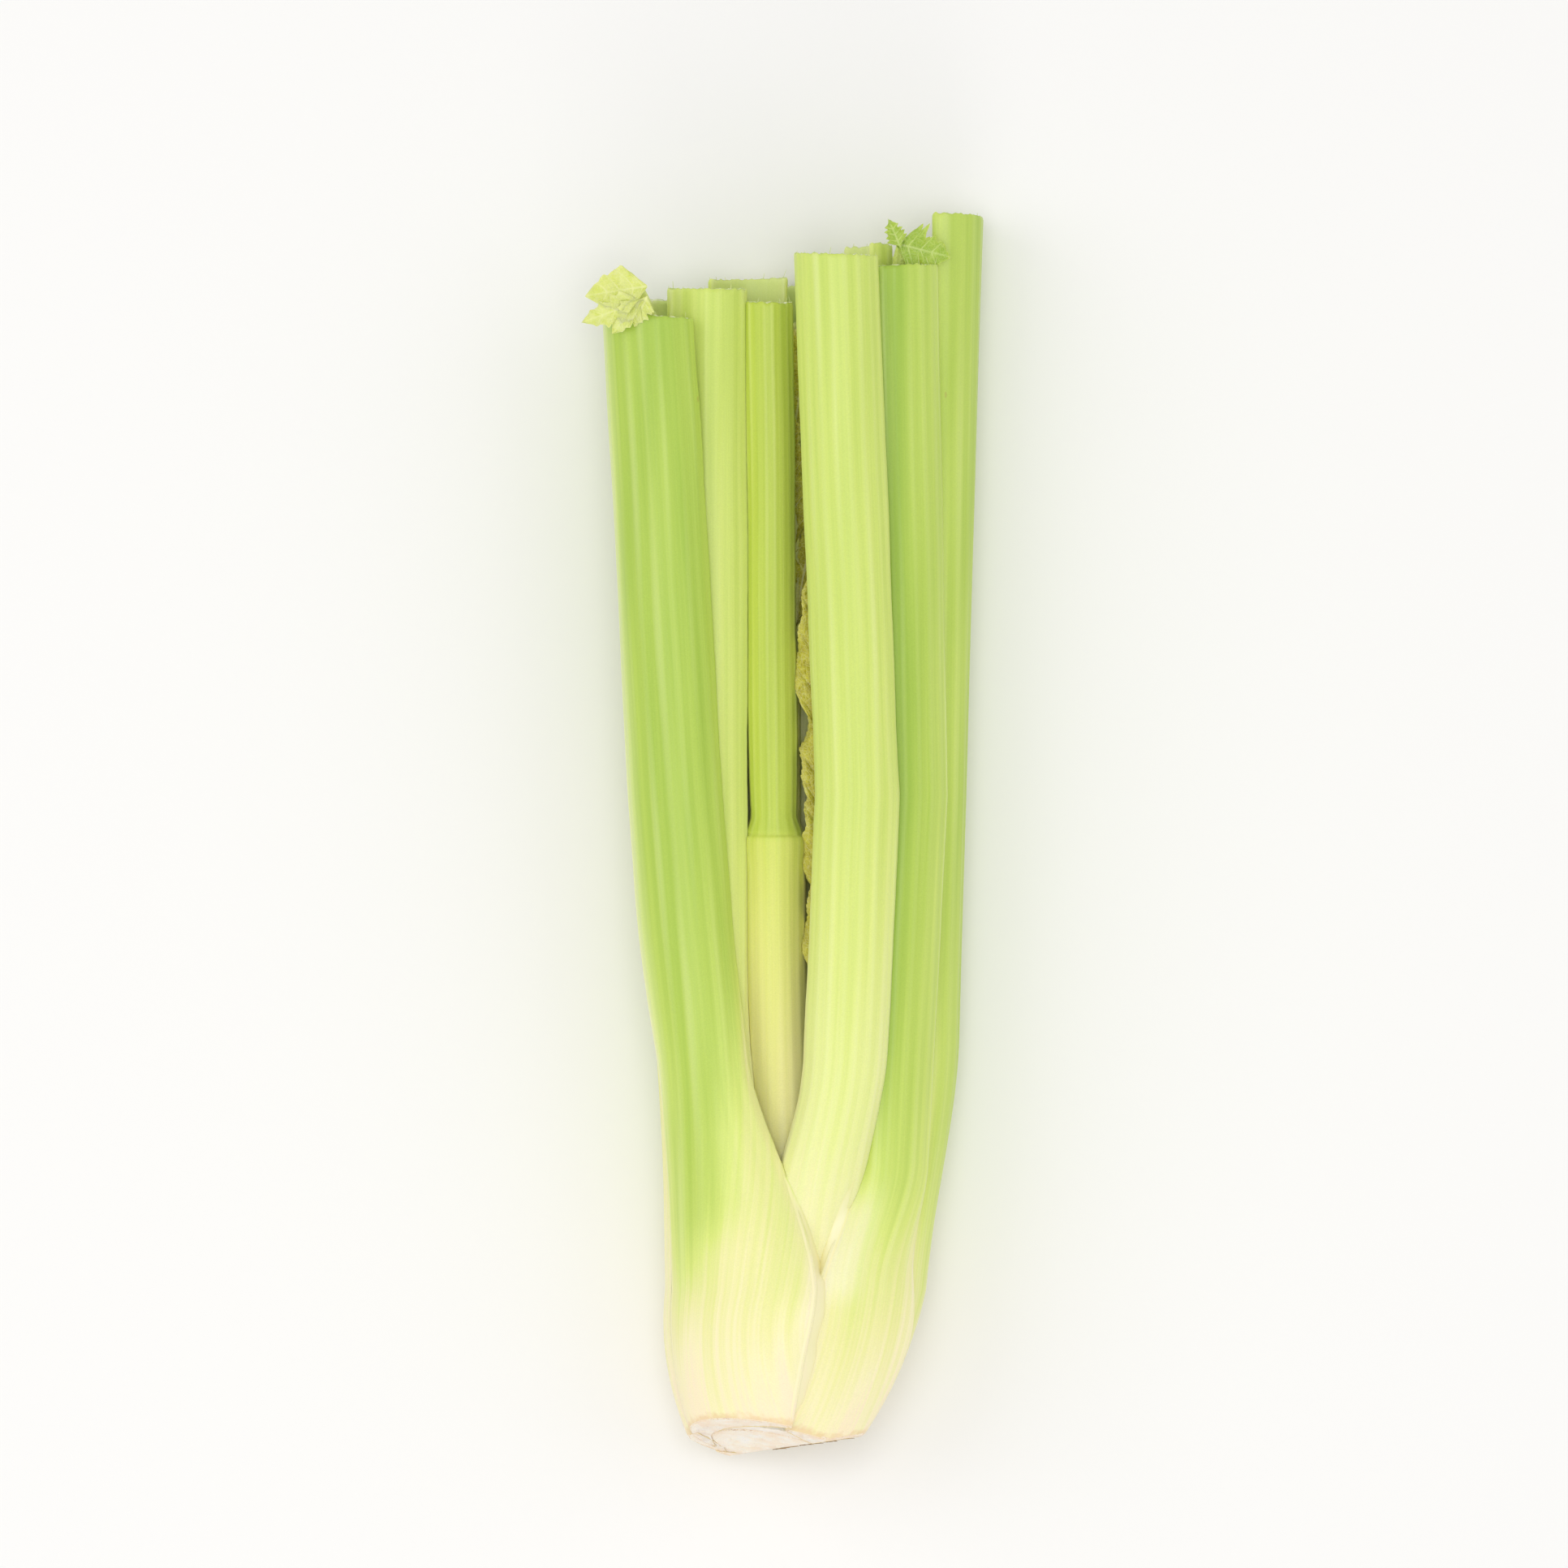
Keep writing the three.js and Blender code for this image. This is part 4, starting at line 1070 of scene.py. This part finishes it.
# Sheath membrane: a papery edge, a few cells thick, that seals each sheath to the next one.
# It is dull, whitish and a little wrinkled, and hides the seam under it.
membraneLook = {"pale": "#faf8dc", "roughness": 0.5, "ior": 1.4, "wrinkle": 1.4, "thickness": 0.03,
                "under": 0.1, "reach": 0.8, "relief": 0.00005}


def membraneMaterial():
    look = membraneLook
    material, tree, shader = newMaterial("celery_sheath_membrane", look["roughness"], look["ior"])
    place = addNode(tree, "Attribute", {"attribute_name": "place"}, out="Vector")
    tone, edge = [
        addNode(tree, "Attribute", {"attribute_name": key}, out="Fac") for key in ("tone", "edge")]
    streakPlace = addNode(tree, "Mapping", {}, {0: place, "Scale": (1.1, 0.05, 0)})
    streaks = addNode(tree, "TexNoise", {}, {"Vector": streakPlace, "Scale": 1, "Detail": 3})
    level = addNode(tree, "Math", {"operation": "MULTIPLY_ADD"}, {0: streaks, 1: 0.16, 2: tone})
    colour = addNode(tree, "ValToRGB", {"stops": skins["outer"]["stops"]}, {0: level})
    colour = addNode(tree, "Mix", {"data_type": "RGBA"}, {
        0: edge, 6: colour, 7: linearColour(look["pale"])}, 2)
    wrinkles = addNode(tree, "TexNoise", {}, {"Vector": place, "Scale": 1 / look["wrinkle"], "Detail": 3})
    coverShader(tree, shader, colour, wrinkles, look["relief"], 0.4)
    return material


# from and to are heights, width how far it reaches past the margin there, over what it lies on
membranes = {
    "front_left": {"stalk": "stalk_front_left", "margin": -1, "from": 11.5, "to": 90, "ends": (9, 26),
                   "width": ([9, 30, 48, 60, 80, 94], [3, 3.6, 3.4, 2.4, 1.5, 1]),
                   "over": ["stalk_front_right", "stalk_second_front"], "white": 0.2, "seed": 61},
    "front_right": {"stalk": "stalk_front_right", "margin": 1, "from": 44, "to": 83, "ends": (12, 13),
                    "width": ([47, 55, 66, 74, 79, 88], [1.6, 2.2, 2.6, 2.8, 3.4, 2.6]),
                    "over": ["stalk_second_front"], "white": 0.45, "seed": 62},
}


nowhere = -100


def skinHeight(stalk, x, s):
    # z of a stalk's ribbed skin over each x, or far below the table where it has none
    u = np.linspace(-1, 1, 161)
    found = np.full(np.shape(x), float(nowhere))
    for k, height in enumerate(s[:, 0]):
        px, pz = pointsAt(stalk, u, 1, 0, np.full(len(u), height))
        order = np.argsort(px)
        found[k] = np.interp(x[k], px[order], pz[order], left=nowhere, right=nowhere)
    return found


def membraneGrid(flap, columns=19, rows=150):
    stalk = stalks[flap["stalk"]]
    s = np.linspace(flap["from"], flap["to"], rows)[:, None]
    marginX, marginZ = pointsAt(stalk, flap["margin"], 1, 0, s)
    toRight = -flap["margin"]
    # both ends run out to a point
    firstEnd, lastEnd = flap["ends"]
    full = ease(0, firstEnd, s - flap["from"]) * ease(0, lastEnd, flap["to"] - s)
    full = np.maximum(full, 0.004) ** 0.5
    width = np.interp(s, *flap["width"]) * (1 + 0.1 * waver(flap["seed"], s / 22))
    across = np.linspace(-1, 1, columns)[None, :]
    x = marginX + toRight * full * np.where(across < 0, across * membraneLook["reach"], across * width)
    z = skinHeight(stalk, x, s)
    for name in flap["over"]:
        z = np.where(across > 0, np.maximum(z, skinHeight(stalks[name], x, s)), z)
    # over a gap it stands out level from the margin
    z = np.where(z < nowhere / 2, marginZ, z)
    # it spans the seam like a taut sheet
    for i in range(columns - 2):
        for j in range(i + 2, columns):
            share = (x[:, i + 1:j] - x[:, i:i + 1]) / (x[:, j:j + 1] - x[:, i:i + 1])
            z[:, i + 1:j] = np.maximum(z[:, i + 1:j], mix(z[:, i:i + 1], z[:, j:j + 1], share))
    for _ in range(4):
        z[1:-1] = (z[:-2] + 2 * z[1:-1] + z[2:]) / 4
    free = ease(0.55, 1, across) * full
    lifted = free * (0.01 + 0.015 * (1 + waver(flap["seed"] + 1, s / 11)))
    thick = membraneLook["thickness"] * ease(-1.02, -0.7, across) * full
    height = s + 0 * x
    top = np.stack([x, height, z + lifted + thick], axis=-1).reshape(-1, 3)
    bottom = np.stack([x, height, z + lifted - membraneLook["under"]], axis=-1).reshape(-1, 3)
    faces = sheetFaces(rows, columns)
    if toRight < 0:
        faces = faces[:, ::-1]
    within = np.maximum(-across, 0) * full * membraneLook["reach"] / (crescentAt(stalk, s)["arc"] / 2)
    green = toneAt(stalk, flap["margin"] * (1 - within), s)
    beyond = toneAt(stalks[flap["over"][0]], -flap["margin"] * 0.9, s)
    green = mix(green, beyond, ease(-0.1, 1, across)) - 0.08
    white = flap["white"] * ease(-0.8, 0.2, across) * ease(1.15, 0.6, across) * full
    found = {"place": np.tile(np.stack([x, height, z], axis=-1).reshape(-1, 3), (2, 1)),
             "tone": np.tile(np.clip(green, 0, 1).ravel(), 2), "edge": np.tile(white.ravel(), 2)}
    return np.concatenate([top, bottom]), faces.tolist(), found


membrane = membraneMaterial()
for name, flap in membranes.items():
    points, faces, found = membraneGrid(flap)
    piece = meshObject("celery_membrane_" + name, points, faces)
    for key, values in found.items():
        writeAttribute(piece.data, key, values)
    smoothPiece(piece.data, 60)
    piece.data.materials.append(membrane)
    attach(piece, "root")
print("membranes made")

# Celery strings: tough fibres that the knife drags out a little at the cut tops, and the torn
# ends of rootlets at the root cut. Dry fibre is matt; it is drawn thicker than life to show.
strings = {"radius": 0.15, "usual": (0.25, 1.1), "longEnd": (1.4, 3.2), "longShare": 0.16,
           "rooted": 1.6, "bend": 0.35, "seed": 71}
rootlets = {"radius": 0.16, "length": (2.5, 7), "count": 22, "x": (-4, 17), "z": (9, 27), "seed": 72}
fibreLooks = {"string": ("#dfe6a4", "#c6d573"), "rootlet": ("#a9824f", "#6f5131")}
fibreFinish = {"roughness": 0.65, "ior": 1.45, "subsurface": 0.1, "patchesPerMetre": 420}


def fibreMaterial(name, pale, dark):
    finish = fibreFinish
    material, tree, shader = newMaterial(name, finish["roughness"], finish["ior"], finish["subsurface"])
    where = addNode(tree, "TexCoord", out="Object")
    patch = addNode(tree, "TexNoise", {}, {
        "Vector": where, "Scale": finish["patchesPerMetre"], "Detail": 2})
    colour = addNode(tree, "ValToRGB", {"stops": [(0.35, pale), (0.65, dark)]}, {0: patch})
    tree.links.new(colour, shader.inputs["Base Color"])
    return material


def fibreTube(points, radius, sides=6):
    # a thread through points, tapering to its far end and closed at both
    points = np.array(points, float)
    along = np.gradient(points, axis=0)
    along /= np.linalg.norm(along, axis=1)[:, None]
    aside = np.cross(along, np.array([0.21, 0.13, 0.97]))
    aside /= np.linalg.norm(aside, axis=1)[:, None]
    other = np.cross(aside, along)
    turn = np.arange(sides) / sides * 2 * np.pi
    taper = np.linspace(1, 0.35, len(points))[:, None, None] * radius
    rings = points[:, None] + taper * (np.cos(turn)[None, :, None] * aside[:, None]
                                       + np.sin(turn)[None, :, None] * other[:, None])
    return rings.reshape(-1, 3), tubeFaces(len(points), sides)


def fibrePiece(name, tubes, material):
    points, faces, start = [], [], 0
    for tubePoints, tubeFaces in tubes:
        points.append(tubePoints)
        faces += [[v + start for v in face] for face in tubeFaces]
        start += len(tubePoints)
    piece = meshObject(name, np.concatenate(points), faces)
    smoothPiece(piece.data, 60)
    piece.data.materials.append(material)
    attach(piece, "root")


def stringEnds():
    dice = np.random.default_rng(strings["seed"])
    tubes = []
    for stalk in stalks.values():
        for k in range(section["ribs"]):
            u = (k + 0.5) * 2 / section["ribs"] - 1 + dice.uniform(-0.03, 0.03)
            longEnd = dice.random() < strings["longShare"]
            length = dice.uniform(*strings["longEnd" if longEnd else "usual"])
            x, z = pointsAt(stalk, np.array(u), 0.72, 0, np.array(float(stalk["height"])))
            bendX, bendZ = dice.uniform(-strings["bend"], strings["bend"], 2) * length
            t = np.linspace(0, 1, 6)
            s = stalk["height"] - strings["rooted"] + t * (length + 1.1)
            path = np.stack([x + bendX * t ** 2, s, np.maximum(z + bendZ * t ** 2, 0.3)], axis=-1)
            tubes.append(fibreTube(path, strings["radius"] * dice.uniform(0.7, 1.15)))
    return tubes


def rootletEnds():
    dice = np.random.default_rng(rootlets["seed"])
    tubes = []
    for _ in range(rootlets["count"]):
        x, z = dice.uniform(*rootlets["x"]), dice.uniform(*rootlets["z"])
        length = dice.uniform(*rootlets["length"])
        heading = math.radians(dice.uniform(5, 45))
        t = np.linspace(0, 1, 9)
        curve = 0.5 * waver(int(dice.integers(1000)), t * 1.5)
        px = x + length * t * math.cos(heading) + curve * 0.4
        pz = z + length * t * math.sin(heading) + curve
        lifted = 0.1 + 0.5 * t ** 2 * dice.uniform(0, 1)
        path = np.stack([px, cutHeight(px, pz) - lifted, pz], axis=-1)
        tubes.append(fibreTube(path, rootlets["radius"] * dice.uniform(0.5, 1.1)))
    return tubes


fibrePiece("celery_string_ends", stringEnds(),
           fibreMaterial("celery_string", *fibreLooks["string"]))
fibrePiece("celery_rootlet_ends", rootletEnds(),
           fibreMaterial("celery_rootlet", *fibreLooks["rootlet"]))
print("strings and rootlets made")

for swollen in swollenPieces:
    bpy.data.objects.remove(swollen)

# The camera looks straight down, as far off as a long lens needs, with the root at the bottom.
photo = {"pixels": 1932, "millimetresPerPixel": 0.241, "centreX": 0.6, "centreY": 15.3, "level": 50,
         "lens": 600, "sensorWidth": 36, "farthest": 30}
camera = bpy.data.objects.new("camera", bpy.data.cameras.new("camera"))
bpy.context.scene.collection.objects.link(camera)
camera.data.lens = photo["lens"]
camera.data.sensor_width = photo["sensorWidth"]
frameWidth = photo["pixels"] * photo["millimetresPerPixel"]
reach = frameWidth / camera.data.sensor_width * camera.data.lens
camera.location = (photo["centreX"] * millimetre, photo["centreY"] * millimetre,
                   (reach + photo["level"]) * millimetre)
camera.rotation_euler = (0, 0, 0)
camera.data.clip_end = photo["farthest"]
bpy.context.scene.camera = camera

# A pale table top and soft light from all round, brightest from above left.
studio = {"world": 0.66, "floor": "#f6f5f3", "floorReach": 6, "floorRoughness": 0.9, "floorIor": 1.3}
softboxes = [
    {"place": (-0.05, 0.1, 2.4), "size": 0.9, "watts": 13},
    {"place": (-1.3, 0.4, 1.3), "size": 1.2, "watts": 5},
    {"place": (1.3, 0.2, 1.2), "size": 1.2, "watts": 2.5},
    {"place": (0, -1.4, 0.7), "size": 0.9, "watts": 3.2},
]
floorMesh = bpy.data.meshes.new("floor")
far = studio["floorReach"]
floorMesh.from_pydata([(-far, -far, 0), (far, -far, 0), (far, far, 0), (-far, far, 0)], [], [(0, 1, 2, 3)])
floor = bpy.data.objects.new("floor", floorMesh)
bpy.context.scene.collection.objects.link(floor)
floorMaterial, floorTree, floorShader = newMaterial(
    "matt_table_top", studio["floorRoughness"], studio["floorIor"])
floorShader.inputs["Base Color"].default_value = linearColour(studio["floor"])
floorMesh.materials.append(floorMaterial)
for k, box in enumerate(softboxes):
    light = bpy.data.lights.new("softbox_%d" % k, "AREA")
    light.size = box["size"]
    light.energy = box["watts"]
    lamp = bpy.data.objects.new("softbox_%d" % k, light)
    lamp.location = box["place"]
    lamp.rotation_euler = lamp.location.to_track_quat("Z", "Y").to_euler()
    bpy.context.scene.collection.objects.link(lamp)
world = bpy.data.worlds.new("studio")
world.use_nodes = True
world.node_tree.nodes["Background"].inputs[0].default_value = (1, 1, 1, 1)
world.node_tree.nodes["Background"].inputs[1].default_value = studio["world"]
bpy.context.scene.world = world
bpy.context.scene.view_settings.view_transform = "Standard"
print("studio made")
